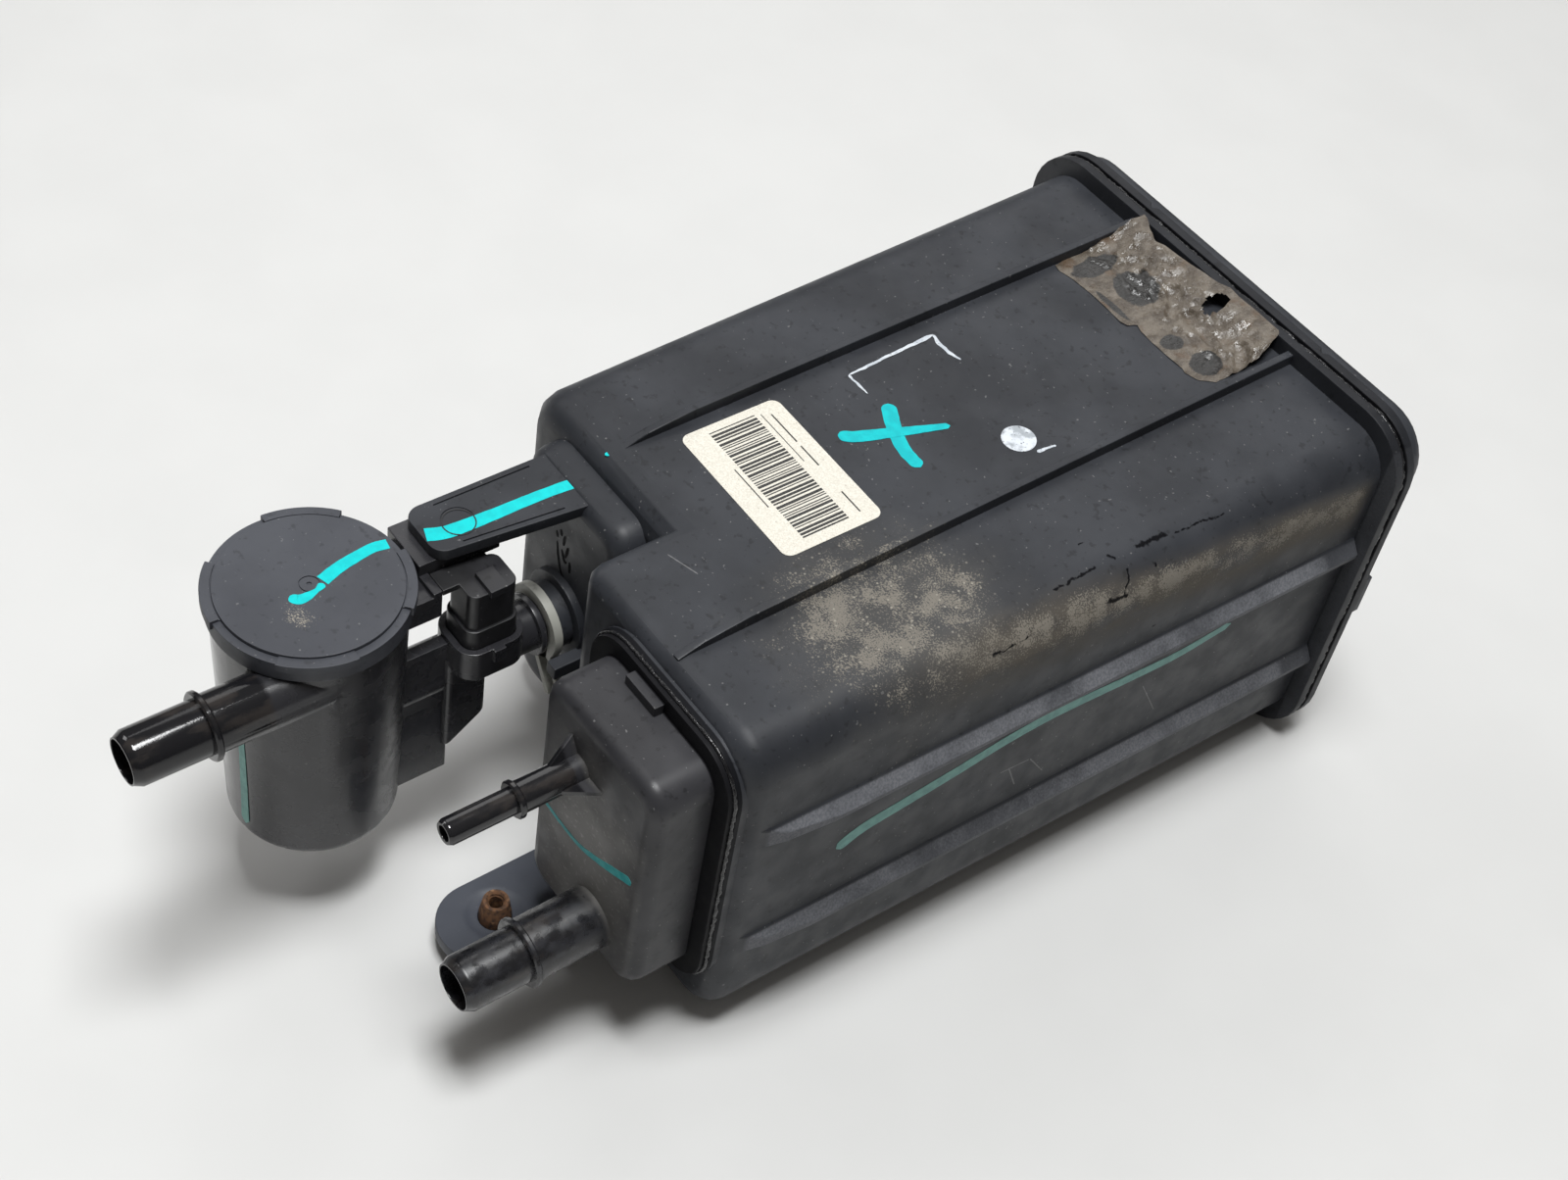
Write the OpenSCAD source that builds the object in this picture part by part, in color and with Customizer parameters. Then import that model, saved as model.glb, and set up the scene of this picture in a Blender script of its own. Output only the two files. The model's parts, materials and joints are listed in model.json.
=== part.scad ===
/* [Canister body] */
// Width of the body at its front
body_w = 150; // [140:1:180]
// Height of the body at its front
body_h = 124; // [118:1:150]
// Length from the main chamber's front to the rear joint
body_l = 240; // [200:1:300]
// Width of the main chamber's lobe, from the right side to the step
main_w = 82.5; // [78:0.5:92]
// Distance that the vent chamber's front is set back
step_back = 26; // [22:1:34]
// Draft of the side walls and the top, in degrees
draft = 1.1; // [0.4:0.1:1.5]
// Thickness of the moulded walls
wall = 3; // [2:0.25:4]
// Radius of the four long edges
edge_r = 14; // [10:1:18]
// Radius of the long edge at the step
step_r = 6; // [5:0.5:9]
// Rounding of the front edges
nose_r = 6; // [5:0.5:8]
// Rounding of the vent chamber's front edges
vent_nose_r = 9; // [6:0.5:11]

/* [Stiffening fins] */
// Height of the fins above the walls
fin_h = 3.75; // [2:0.25:5]
// Thickness of the fins on the top and the underside
fin_t = 2.6; // [1.5:0.1:4]
// Length of a fin's pointed front end
fin_run = 24; // [12:1:40]
// Distance between the two fins on the top, and between the two on the underside
fin_gap = 73; // [50:1:90]
// Distance of the fins' middle to the left of the body's middle
fin_left = 3; // [0:0.5:6]
// Height of the lower fin on each side
low_fin_z = 35; // [28:1:45]
// Height of the upper fin on each side
high_fin_z = 86; // [70:1:95]
// Depth of the underside fins that the canister stands on
foot_h = 6; // [4:0.5:9]

/* [Rear cover] */
// Overhang of the joint flanges beyond the body
flange_out = 6; // [4:0.5:9]
// Thickness of the body's joint flange
flange_t = 3.5; // [2.5:0.25:5]
// Thickness of the cover's joint flange
cover_flange_t = 3.5; // [2.5:0.25:5]
// Width of the weld groove between the flanges
weld_gap = 1.6; // [1:0.2:3]
// Depth of the weld groove
weld_in = 2.6; // [1.5:0.1:4]
// Overhang of the cover's wall beyond the body
cover_out = 2.6; // [2:0.2:4]
// Depth of the cover behind the joint
cover_depth = 12; // [9:0.5:20]
// Thickness of the cover's back
cover_back = 5; // [4:0.5:8]
// Rounding of the cover's back edge
cover_r = 4; // [2:0.5:6]
// Depth of the ribbed panel in the cover's back
panel_in = 2.5; // [1:0.25:3]

/* [Nozzle cover] */
// Middle of the nozzle cover, to the right of the body's middle
nozzle_cover_x = 39; // [37:0.5:42]
// Height of the nozzle cover's middle
nozzle_cover_z = 67.5; // [64:0.5:70]
// Width of the nozzle cover
nozzle_cover_w = 54; // [50:0.5:58]
// Height of the nozzle cover
nozzle_cover_h = 90; // [84:0.5:92]
// Reach of the nozzle cover in front of the body
nozzle_cover_l = 24; // [20:0.5:30]
// Overhang of the front joint flanges beyond the nozzle cover
front_flange_out = 7; // [5:0.5:8]
// Thickness of each front joint flange
front_flange_t = 2.2; // [1.6:0.1:3]
// Radius of the nozzle cover's long edges
nozzle_cover_r = 9; // [7:0.5:12]
// Distance of the purge nozzle to the left of the nozzle cover's middle
purge_left = 7; // [4:0.5:10]
// Height of the purge nozzle above the nozzle cover's middle
purge_up = 24.5; // [20:0.5:28]
// Distance of the tank nozzle to the right of the nozzle cover's middle
tank_right = 6; // [2:0.5:8]
// Depth of the tank nozzle below the nozzle cover's middle
tank_down = 30; // [25:0.5:31]
// Outer diameter of the purge nozzle
purge_d = 7.9; // [6.3:0.1:9.5]
// Outer diameter of the tank nozzle
tank_d = 17.2; // [14:0.2:19]
// Length of the purge nozzle in front of the cover
purge_l = 43; // [36:1:55]
// Length of the tank nozzle in front of the cover
tank_l = 46; // [38:1:58]
// Length of the purge nozzle's free end in front of its bead
purge_end_l = 21; // [16:1:26]
// Length of the tank nozzle's free end in front of its bead
tank_end_l = 21; // [20:0.5:30]
// Wall of the nozzles
nozzle_wall = 1.6; // [1.2:0.1:2.2]

/* [Mounting tab] */
// Width of the mounting tab
tab_w = 28; // [26:1:36]
// Reach of the tab in front of the body
tab_l = 52.5; // [49:0.5:70]
// Thickness of the tab
tab_t = 5; // [4:0.5:8]
// Distance of the threaded insert in front of the body
insert_y = 34; // [28:1:40]
// Bore of the insert, for an M6 screw
insert_bore_d = 5; // [4.2:0.1:6.8]
// Outer diameter of the insert
insert_d = 10; // [9:0.2:12]
// Height of the insert above the tab
insert_up = 7; // [4:0.5:9]

/* [Vent port] */
// Depth of the vent port's axis below the body's top
port_drop = 56; // [52:0.5:60]
// Distance of the vent port to the left of the body's middle
port_x = 36; // [34:0.5:40]
// Outer diameter of the pipe in the port
pipe_d = 16; // [14:0.2:17]
// Outer diameter of the port's neck
neck_d = 21; // [19:0.5:24]
// Reach of the boss in front of the vent chamber
boss_l = 10; // [8:0.5:14]
// Width of the boss
boss_w = 50; // [46:1:52]
// Reach of the boss below the vent port's axis
boss_below = 24; // [20:1:28]
// Height of the boss's top below the body's top
boss_drop = 6; // [4:0.5:10]

/* [Vent valve] */
// Distance of the valve's axis in front of the main chamber
valve_y = 64; // [60:0.5:72]
// Distance of the valve's axis to the left of the body's middle
valve_x = 44; // [42:0.5:46]
// Radius of the housing below its lid
housing_r = 27.6; // [26.5:0.1:29]
// Radius of the housing at its bottom
housing_low_r = 25.2; // [24.6:0.1:26]
// Height from the housing's bottom to the lid's top
valve_h = 91.5; // [90:0.5:95]
// Depth of the lid's top below the top of the arm over the valve
lid_drop = 1; // [0.5:0.25:3]
// Wall of the housing
housing_wall = 2.2; // [1.8:0.1:2.6]
// Thickness of the lid
lid_t = 3.5; // [3:0.25:5]
// Depth of the lid's skirt
skirt_l = 4; // [3:0.25:5]
// Width of the lid's rim beyond the housing
lid_rim = 1.8; // [1.4:0.1:2.4]
// Outer diameter of the vent nozzle
vent_d = 16.4; // [14:0.2:17]
// Length of the vent nozzle from the valve's axis
vent_l = 65; // [58:0.5:74]
// Length of the vent nozzle's free end in front of its bead
vent_end_l = 22.5; // [18:0.5:28]
// Travel of the plunger from open to closed
plunger_travel = 2.5; // [1.5:0.1:3]
// Radius of the plunger
plunger_r = 6; // [5.5:0.1:6.5]
// Radius of the valve's stem
stem_r = 2.5; // [2:0.1:2.8]
// Radius of the coil's steel yoke
yoke_r = 20; // [19:0.1:20.4]
// Height of the coil's steel yoke
yoke_h = 32; // [31:0.5:33]

/* [Filling] */
// Thickness of the felt pads
felt_t = 6; // [4:0.5:10]
// Thickness of the pressure plates
plate_t = 4; // [3:0.5:6]
// Length of the springs behind the pressure plates
spring_l = 30; // [26:1:38]
// Mean radius of the springs
spring_r = 11; // [9:0.5:13]
// Wire diameter of the springs
spring_wire = 1.8; // [1.2:0.1:2.2]
// Height of each spring's axis above or below the body's middle
spring_up = 27; // [20:1:32]

/* [Clearances] */
// Gap between a filling piece and the walls round it
fill_gap = 0.4; // [0.2:0.05:0.8]
// Radial gap of a piece that is fixed in a round seat
seat_gap = 0.1; // [0.05:0.05:0.2]
// Radial gap of a piece that slides
slide_gap = 0.05; // [0.02:0.01:0.1]
// Gap left at the end of the plunger's travel
stop_gap = 0.15; // [0.1:0.05:0.3]

/* [Hidden] */

$fn = 64;
arc_steps = 8;
least_r = 0.6;
hollow_r = 1;
slice = 0.02;
cut = 1;
nose_step = 30;

black_plastic = [0.09, 0.09, 0.1];
gloss_black = [0.06, 0.06, 0.065];
steel = [0.6, 0.6, 0.62];
felt_grey = [0.55, 0.54, 0.5];
carbon = [0.05, 0.05, 0.05];

slope = tan(draft);
half_w = body_w / 2;
step_x = half_w - main_w;
rear_half_w = half_w + slope * body_l;
rear_h = body_h + slope * body_l;
joint_y = body_l + weld_gap;
back_y = joint_y + cover_depth;
cover_inner_y = back_y - cover_back;

// Frame: the middle of the whole part, standing on the underside fins
valve_front_y = -valve_y - vent_l;
rest_drop = max(foot_h, flange_out);
frame_shift = [0, -(back_y + valve_front_y) / 2, rest_drop];

// Stations of a rounded front: distance behind the front, and inset
function nose_stations(nose) = nose > 0
    ? [for (a = [0:nose_step:90]) [nose * (1 - cos(a)), nose * (1 - sin(a))]]
    : [[0, 0]];

module in_frame() {
    translate(frame_shift) children();
}

// Extrusion along Y of an outline drawn in X and Z
module along_y(from, to) {
    translate([0, to, 0])
        rotate([90, 0, 0])
            linear_extrude(to - from) children();
}

module tube_y(from, to, d) {
    translate([0, from, 0])
        rotate([-90, 0, 0])
            cylinder(h = to - from, d = d);
}

// Rounded rectangle of true arcs, round its middle
module round_rect(w, h, r) {
    square([w - 2 * r, h], center = true);
    square([w, h - 2 * r], center = true);
    for (i = [-1, 1], k = [-1, 1])
        translate([i * (w / 2 - r), k * (h / 2 - r)]) circle(r);
}

// Points of a rounded rectangle from its limits and its left and right radii, anticlockwise
function round_points(x, z, r) = [
    for (corner = [0:3], i = [0:arc_steps])
        let (a = 90 * (corner + i / arc_steps),
             left = corner == 1 || corner == 2,
             q = left ? r[0] : r[1],
             cx = left ? x[0] + q : x[1] - q,
             cz = corner > 1 ? z[0] + q : z[1] - q)
        [cx + q * cos(a), cz + q * sin(a)]
];

module rounded(x, z, r) {
    polygon(round_points(x, z, [r, r]));
}

// Box along Y that grows to the rear, with rounded long edges and a rounded front.
// x and z are its limits at y = 0, r its left and right radii, grow its slopes left, right and up
module drafted_box(x, z, y, r, nose, grow) {
    stations = concat([for (s = nose_stations(nose)) [y[0] + s[0], s[1]]], [[y[1], 0]]);
    rings = [for (s = stations)
        round_points([x[0] - grow[0] * s[0] + s[1], x[1] + grow[1] * s[0] - s[1]],
                     [z[0] + s[1], z[1] + grow[2] * s[0] - s[1]],
                     [max(r[0] - s[1], least_r), max(r[1] - s[1], least_r)])];
    n = len(rings[0]);
    last = len(rings) - 1;
    points = [for (j = [0:last], q = rings[j]) [q[0], stations[j][0], q[1]]];
    sides = [for (j = [0:last - 1], i = [0:n - 1])
        let (k = (i + 1) % n, a = j * n, b = a + n)
        each [[a + i, a + k, b + k], [a + i, b + k, b + i]]];
    ends = [[for (i = [n - 1:-1:0]) i], [for (i = [0:n - 1]) last * n + i]];
    polyhedron(points, concat(sides, ends), convexity = 4);
}

// The main chamber's lobe, or its hollow when inset by the wall
module main_lobe(inset, from, to, nose) {
    drafted_box([step_x + inset, half_w - inset], [inset, body_h - inset], [from, to],
                [max(step_r - inset, hollow_r), edge_r - inset], nose, [0, slope, slope]);
}

// The vent chamber's lobe; its right side lies inside the main lobe or at the partition
module vent_lobe(inset, from, to, nose, right_x, right_r) {
    drafted_box([-half_w + inset, right_x], [inset, body_h - inset], [from, to],
                [edge_r - inset, right_r], nose, [slope, 0, slope]);
}

module vent_hollow(inset, from, to, nose) {
    vent_lobe(inset, from, to, nose, step_x + wall - inset, max(step_r - inset, hollow_r));
}

// Side outline of a fin with its pointed front end, which bends at a share of its length and height
fin_bend = [0.35, 0.6];

module fin_outline(from, to, height) {
    polygon([[from, -wall / 2], [from, 0], [from + fin_run * fin_bend[0], height * fin_bend[1]],
             [from + fin_run, height], [to, height], [to, -wall / 2]]);
}

// Upright fin along Y on the top or, turned over, on the underside
module flat_fin(x, from, height) {
    translate([x - fin_t / 2, 0, 0])
        rotate([90, 0, 90])
            linear_extrude(fin_t) fin_outline(from, body_l - flange_t / 2, height);
}

module top_fins() {
    for (side = [-1, 1]) {
        from = side < 0 ? step_back + vent_nose_r : nose_r / 2;
        translate([0, 0, body_h])
            rotate([draft, 0, 0]) flat_fin(side * fin_gap / 2 - fin_left, from, fin_h);
    }
}

module foot_fins() {
    for (side = [-1, 1]) {
        from = side < 0 ? step_back + vent_nose_r : nose_r / 2;
        mirror([0, 0, 1]) flat_fin(side * fin_gap / 2 - fin_left, from, foot_h);
    }
}

// Section of a side fin: level below, sloping on top
side_fin_rise = 2.1 * fin_t;

module side_fin_section() {
    polygon([[-wall / 2, -fin_t], [fin_h, -fin_t / 2], [fin_h, fin_t / 4],
             [0, side_fin_rise], [-wall / 2, side_fin_rise]]);
}

module side_fin(z, from) {
    intersection() {
        translate([0, 0, z])
            rotate([90, 0, 0])
                translate([0, 0, -body_l + flange_t])
                    linear_extrude(body_l - flange_t - from) side_fin_section();
        translate([0, 0, z - side_fin_rise])
            linear_extrude(2 * side_fin_rise)
                mirror([1, 0]) rotate(90) fin_outline(from, body_l - flange_t, fin_h);
    }
}

module side_fins() {
    for (z = [low_fin_z, high_fin_z]) {
        translate([half_w, 0, 0]) rotate([0, 0, -draft]) side_fin(z, nose_r);
        mirror([1, 0, 0])
            translate([half_w, 0, 0])
                rotate([0, 0, -draft]) side_fin(z, step_back + vent_nose_r);
    }
}

// Outline of the body's rear end, let out by an overhang
module rear_outline(out) {
    rounded([-rear_half_w - out, rear_half_w + out], [-out, rear_h + out], edge_r + out);
}

// Outline of the nozzle cover, let out by an overhang
module front_outline(out) {
    rounded([nozzle_cover_x - nozzle_cover_w / 2 - out, nozzle_cover_x + nozzle_cover_w / 2 + out],
            [nozzle_cover_z - nozzle_cover_h / 2 - out, nozzle_cover_z + nozzle_cover_h / 2 + out],
            nozzle_cover_r + out);
}

// Slots in the front wall that let the main chamber breathe into the nozzle cover
slot_count = 5;
slot_w = 5;
module front_slots() {
    pitch = (nozzle_cover_w - 2 * nozzle_cover_r) / slot_count;
    for (i = [0:slot_count - 1])
        translate([nozzle_cover_x + (i - (slot_count - 1) / 2) * pitch - slot_w / 2, -cut,
                   nozzle_cover_z - nozzle_cover_h / 2 + nozzle_cover_r])
            cube([slot_w, wall + 2 * cut, nozzle_cover_h - 2 * nozzle_cover_r]);
}

port_z = body_h - port_drop;
boss_top = body_h - boss_drop;
boss_low = port_z - boss_below;
boss_front = step_back - boss_l;
boss_r = 9;
neck_l = 7;
collar_out = 3.4;
collar_d = neck_d + 2 * collar_out;
collar_l = 2.5;
neck_front = boss_front - neck_l;
port_bore_d = pipe_d + 2 * seat_gap;
lug_size = [4.4, 14, 5];
lug_out = 14.5;
lug_drop = 6.5;
lug_front = 5.7;

module vent_boss() {
    drafted_box([-port_x - boss_w / 2, -port_x + boss_w / 2], [boss_low, boss_top],
                [boss_front, step_back + wall + nose_r / 2], [boss_r, boss_r], nose_r, [0, 0, 0]);
    translate([-port_x, 0, port_z]) {
        tube_y(neck_front, boss_front + nose_r, neck_d);
        tube_y(boss_front - collar_l, boss_front + nose_r, collar_d);
        for (side = [-1, 1])
            translate([side * lug_out - lug_size[0] / 2, neck_front - lug_front,
                       -lug_drop - lug_size[2] / 2])
                cube(lug_size);
    }
}

// Arm that reaches over the valve's tongue
arm_t = 4;
arm_drop = 1.5;
arm_left_out = 10.5;
arm_root_out = 14.5;
arm_tip_out = 9;
arm_top = boss_top - arm_drop;
arm_left = -valve_x - arm_left_out;
arm_root_right = -valve_x + arm_root_out;
arm_tip_right = -valve_x + arm_tip_out;
arm_tip_y = -29;
arm_tip_r = 5;
arm_line_in = 2;
arm_line_w = 0.6;
arm_line_deep = 0.5;
ejector_r = 5;
ejector_y = -17;
arm_line_y = [-20, 12];

function arc_points(c, r, from, to) =
    [for (i = [0:arc_steps]) let (a = from + (to - from) * i / arc_steps) c + r * [cos(a), sin(a)]];

module valve_arm() {
    translate([0, 0, arm_top - arm_t])
        linear_extrude(arm_t)
            polygon(concat(
                [[arm_root_right, step_back + wall], [arm_left, step_back + wall]],
                arc_points([arm_left + arm_tip_r, arm_tip_y + arm_tip_r], arm_tip_r, 180, 270),
                arc_points([arm_tip_right - arm_tip_r, arm_tip_y + arm_tip_r], arm_tip_r, 270, 360)
            ));
}

// Lines beside the arm's edges and the round ejector mark on its top
module arm_marks() {
    taper = atan((arm_root_right - arm_tip_right) / (step_back - arm_tip_y));
    line_l = arm_line_y[1] - arm_line_y[0];
    translate([0, arm_line_y[0], arm_top - arm_line_deep]) {
        translate([arm_left + arm_line_in, 0, 0]) cube([arm_line_w, line_l, cut]);
        translate([arm_tip_right - arm_line_in / 2 - arm_line_w, 0, 0])
            rotate([0, 0, -taper]) cube([arm_line_w, line_l, cut]);
    }
    translate([-valve_x, ejector_y, arm_top - arm_line_deep])
        difference() {
            cylinder(h = cut, r = ejector_r);
            translate([0, 0, -cut]) cylinder(h = 3 * cut, r = ejector_r - arm_line_w / 2);
        }
}

tab_in = 5.5;
tab_x = step_x + tab_in + tab_w / 2;
tab_dish = 1.2;
tab_dish_r = 10.5;
dish_floor = 1.5;

module tab_outline() {
    translate([tab_x, -tab_l + tab_w / 2]) circle(tab_w / 2);
    translate([tab_x - tab_w / 2, -tab_l + tab_w / 2])
        square([tab_w, tab_l - tab_w / 2 + wall / 2]);
}

// Tab with a shallow dish round the insert
module mount_tab() {
    difference() {
        linear_extrude(tab_t) tab_outline();
        translate([tab_x, -insert_y, tab_t - tab_dish])
            cylinder(h = tab_dish + slice, r1 = insert_d / 2 + dish_floor, r2 = tab_dish_r);
    }
}

module canister_body() color(black_plastic) in_frame() {
    difference() {
        union() {
            main_lobe(0, 0, body_l, nose_r);
            vent_lobe(0, step_back, body_l, vent_nose_r, step_x + 2 * edge_r + step_r, edge_r);
            top_fins();
            foot_fins();
            side_fins();
            along_y(body_l - flange_t, body_l) rear_outline(flange_out);
            along_y(body_l - slice, joint_y) rear_outline(flange_out - weld_in);
            along_y(-front_flange_t, wall) front_outline(front_flange_out);
            vent_boss();
            valve_arm();
            mount_tab();
        }
        main_lobe(wall, wall, joint_y + cut, nose_r - wall);
        vent_hollow(wall, step_back + wall, joint_y + cut, vent_nose_r - wall);
        along_y(-front_flange_t - cut, 0) front_outline(-wall);
        front_slots();
        arm_marks();
        translate([-port_x, 0, port_z]) {
            tube_y(neck_front - cut, step_back + 2 * wall, port_bore_d);
            tube_y(seal_y - seal_w / 2, seal_y + seal_w / 2, seal_groove_d);
        }
        translate([tab_x, -insert_y, -cut]) cylinder(h = tab_t + 2 * cut, d = insert_d + 2 * seat_gap);
    }
}

// Rubber ring in the port, round the valve's pipe
seal_wire = 2.4;
seal_slack = 0.2;
seal_depth = 9;
seal_w = seal_wire + 2 * seal_slack;
seal_groove_d = port_bore_d + 2 * seal_wire - seal_slack;
seal_y = neck_front + seal_depth;

module port_seal() color([0.12, 0.12, 0.12]) in_frame() {
    translate([-port_x, seal_y, port_z])
        rotate([-90, 0, 0])
            rotate_extrude()
                translate([pipe_d / 2 + seal_wire / 2 + seat_gap, 0]) circle(d = seal_wire - seal_slack);
}

// Split ring that holds the pipe in the port, with two squeeze legs
retainer_t = 3;
retainer_out = 1.7;
retainer_r = neck_d / 2 + retainer_out;
leg_l = 15;
leg_w = 2.4;
leg_gap = 1.6 * leg_w;
leg_root = 2;
leg_turn = -58;

module port_retainer() color([0.72, 0.72, 0.66]) in_frame() {
    translate([-port_x, neck_front - retainer_t, port_z]) {
        difference() {
            union() {
                tube_y(0, retainer_t, 2 * retainer_r);
                for (side = [-1, 1])
                    rotate([0, -leg_turn, 0])
                        translate([retainer_r - leg_root, 0, side * leg_gap - leg_w / 2])
                            cube([leg_l, retainer_t, leg_w]);
            }
            tube_y(-cut, retainer_t + cut, pipe_d + 4 * seat_gap);
            rotate([0, -leg_turn, 0])
                translate([0, -cut, -leg_gap / 2])
                    cube([leg_l + retainer_r, retainer_t + 2 * cut, leg_gap]);
        }
    }
}

// Steel insert that stands out of the mounting tab
insert_step = 1;
insert_top_d = insert_d - 2 * insert_step;
insert_lead = 0.6;

module tab_insert() color([0.42, 0.27, 0.17]) in_frame() {
    bore_r = insert_bore_d / 2;
    translate([tab_x, -insert_y, 0])
        rotate_extrude()
            polygon([[bore_r, 0], [insert_d / 2, 0], [insert_d / 2, tab_t + insert_step],
                     [insert_top_d / 2, tab_t + insert_up], [bore_r + insert_lead, tab_t + insert_up],
                     [bore_r, tab_t + insert_up - insert_lead]]);
}

// Rear cover: flange, drafted wall and a ribbed back
rib_t = 2.4;
panel_in_edge = 13;
stud_gap = 1;
stud_r = spring_r - spring_wire / 2 - stud_gap;
stud_l = 3;

// Axes of the springs, two behind each pressure plate
main_spring_x = (step_x + wall + half_w - wall) / 2;
vent_spring_x = (step_x - half_w + wall) / 2;
spring_zs = [body_h / 2 - spring_up, body_h / 2 + spring_up];

module spring_studs(xs, y, length) {
    for (x = xs, z = spring_zs)
        translate([x, 0, z]) tube_y(y, y + length, 2 * stud_r);
}

// Lug on the cover's right side, and notches in its flange
lug_h = 16;
lug_t = 2.4;
notch_w = 5;
notch_deep = 1.4;

module flange_notches() {
    for (side = [-1, 1])
        translate([side * rear_half_w / 2, joint_y + cover_flange_t, rear_h + flange_out - notch_deep])
            linear_extrude(notch_deep + cut)
                polygon([[-notch_w / 2, cut], [notch_w / 2, cut], [0, -cover_flange_t / 2]]);
}

module rear_panel() {
    w = 2 * (rear_half_w + cover_out - panel_in_edge);
    h = rear_h + 2 * (cover_out - panel_in_edge);
    translate([0, 0, rear_h / 2])
        difference() {
            along_y(back_y - panel_in, back_y + cut) rounded([-w / 2, w / 2], [-h / 2, h / 2], edge_r);
            for (x = [-w / 4, 0, w / 4])
                translate([x - rib_t / 2, back_y - panel_in - cut, -h / 2])
                    cube([rib_t, panel_in + 3 * cut, h]);
            for (z = [-h / 6, h / 6])
                translate([-w / 2, back_y - panel_in - cut, z - rib_t / 2])
                    cube([w, panel_in + 3 * cut, rib_t]);
        }
}

module rear_shell(out, from, to, r) {
    translate([0, to, 0])
        mirror([0, 1, 0])
            drafted_box([-rear_half_w - out, rear_half_w + out], [-out, rear_h + out], [0, to - from],
                        [edge_r + out, edge_r + out], r, [0, 0, 0]);
}

module rear_cover() color(black_plastic) in_frame() {
    difference() {
        union() {
            along_y(joint_y, joint_y + cover_flange_t) rear_outline(flange_out);
            rear_shell(cover_out, joint_y, back_y, cover_r);
        }
        rear_shell(-wall, joint_y - cut, cover_inner_y, hollow_r);
        rear_panel();
        flange_notches();
    }
    spring_studs([main_spring_x, vent_spring_x], cover_inner_y - stud_l, stud_l + cut);
    translate([rear_half_w + cover_out - cut, joint_y + cover_flange_t - slice, rear_h / 2 - lug_h / 2])
        cube([flange_out - cover_out + cut, lug_t, lug_h]);
}

// Tube with a bead and a lead-in at its free end, which points to -Y
bead_t = 2;
bead_edge = 0.5;
lead_share = 0.08;

module nozzle_body(d, root_d, length, bead_d, end_l) {
    bead_from = length - end_l - bead_t;
    bead_to = length - end_l;
    lead = d * lead_share;
    rotate([90, 0, 0])
        rotate_extrude()
            polygon([[0, -cut], [root_d / 2, -cut], [root_d / 2, bead_from],
                     [bead_d / 2 - bead_edge, bead_from], [bead_d / 2, bead_from + bead_edge],
                     [bead_d / 2, bead_to - bead_edge], [bead_d / 2 - bead_edge, bead_to],
                     [d / 2, bead_to], [d / 2, length - 2 * lead], [d / 2 - lead, length], [0, length]]);
}

purge_x = nozzle_cover_x - purge_left;
purge_z = nozzle_cover_z + purge_up;
tank_x = nozzle_cover_x + tank_right;
tank_z = nozzle_cover_z - tank_down;
purge_bead = 1.7;
tank_bead = 2.2;
vent_bead = 2;
purge_sleeve = 0.8;
tank_sleeve = 1;
vent_sleeve = 0.4;
nozzle_face_y = -nozzle_cover_l;
gusset_l = 9;
gusset_out = 6;
gusset_t = 1.6;
purge_root_d = purge_d + 2 * purge_sleeve;
gusset_turns = [0, 240];

module purge_gussets() {
    reach = purge_root_d / 2 + gusset_out;
    for (a = gusset_turns)
        rotate([0, a, 0])
            translate([0, 0, -gusset_t / 2])
                linear_extrude(gusset_t)
                    polygon([[0, cut], [reach, cut], [reach, 0], [purge_root_d / 2, -gusset_l],
                             [0, -gusset_l]]);
}

module cover_shell(inset, front, rear, nose) {
    drafted_box([nozzle_cover_x - nozzle_cover_w / 2 + inset, nozzle_cover_x + nozzle_cover_w / 2 - inset],
                [nozzle_cover_z - nozzle_cover_h / 2 + inset, nozzle_cover_z + nozzle_cover_h / 2 - inset],
                [front, rear], [nozzle_cover_r - inset, nozzle_cover_r - inset], nose, [0, 0, 0]);
}

locator_w = 14;
locator_left = 12.5;
locator_l = 4.4;
locator_up = 3.5;
cover_nose = 5;
cover_flange_in = 1;

module nozzle_cover() color(black_plastic) in_frame() {
    rear_y = -front_flange_t;
    difference() {
        union() {
            cover_shell(0, nozzle_face_y, rear_y, cover_nose);
            along_y(rear_y - front_flange_t, rear_y) front_outline(front_flange_out - cover_flange_in);
            translate([nozzle_cover_x - locator_left, rear_y - front_flange_t / 2 - locator_l,
                       nozzle_cover_z + nozzle_cover_h / 2 - cut])
                cube([locator_w, locator_l, locator_up + cut]);
            translate([purge_x, nozzle_face_y, purge_z]) {
                nozzle_body(purge_d, purge_root_d, purge_l, purge_d + 2 * purge_bead, purge_end_l);
                purge_gussets();
            }
            translate([tank_x, nozzle_face_y, tank_z])
                nozzle_body(tank_d, tank_d + 2 * tank_sleeve, tank_l, tank_d + 2 * tank_bead, tank_end_l);
        }
        cover_shell(wall, nozzle_face_y + wall, rear_y + cut, cover_nose - wall);
        translate([purge_x, 0, purge_z])
            tube_y(nozzle_face_y - purge_l - cut, nozzle_face_y + wall + cut, purge_d - 2 * nozzle_wall);
        translate([tank_x, 0, tank_z])
            tube_y(nozzle_face_y - tank_l - cut, nozzle_face_y + wall + cut, tank_d - 2 * nozzle_wall);
    }
}

// Filling of the chambers, from the front: felt, carbon, felt, pressure plate, springs
plate_back_y = cover_inner_y - spring_l;
plate_front_y = plate_back_y - plate_t;
bed_back_y = plate_front_y - felt_t;
main_bed_y = wall + felt_t;
vent_bed_y = step_back + wall + felt_t;
fill_in = wall + fill_gap;

module main_front_felt() color(felt_grey) in_frame()
    main_lobe(fill_in, wall, main_bed_y, nose_r - wall);

module vent_front_felt() color(felt_grey) in_frame()
    vent_hollow(fill_in, step_back + wall, vent_bed_y, vent_nose_r - wall);

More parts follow.
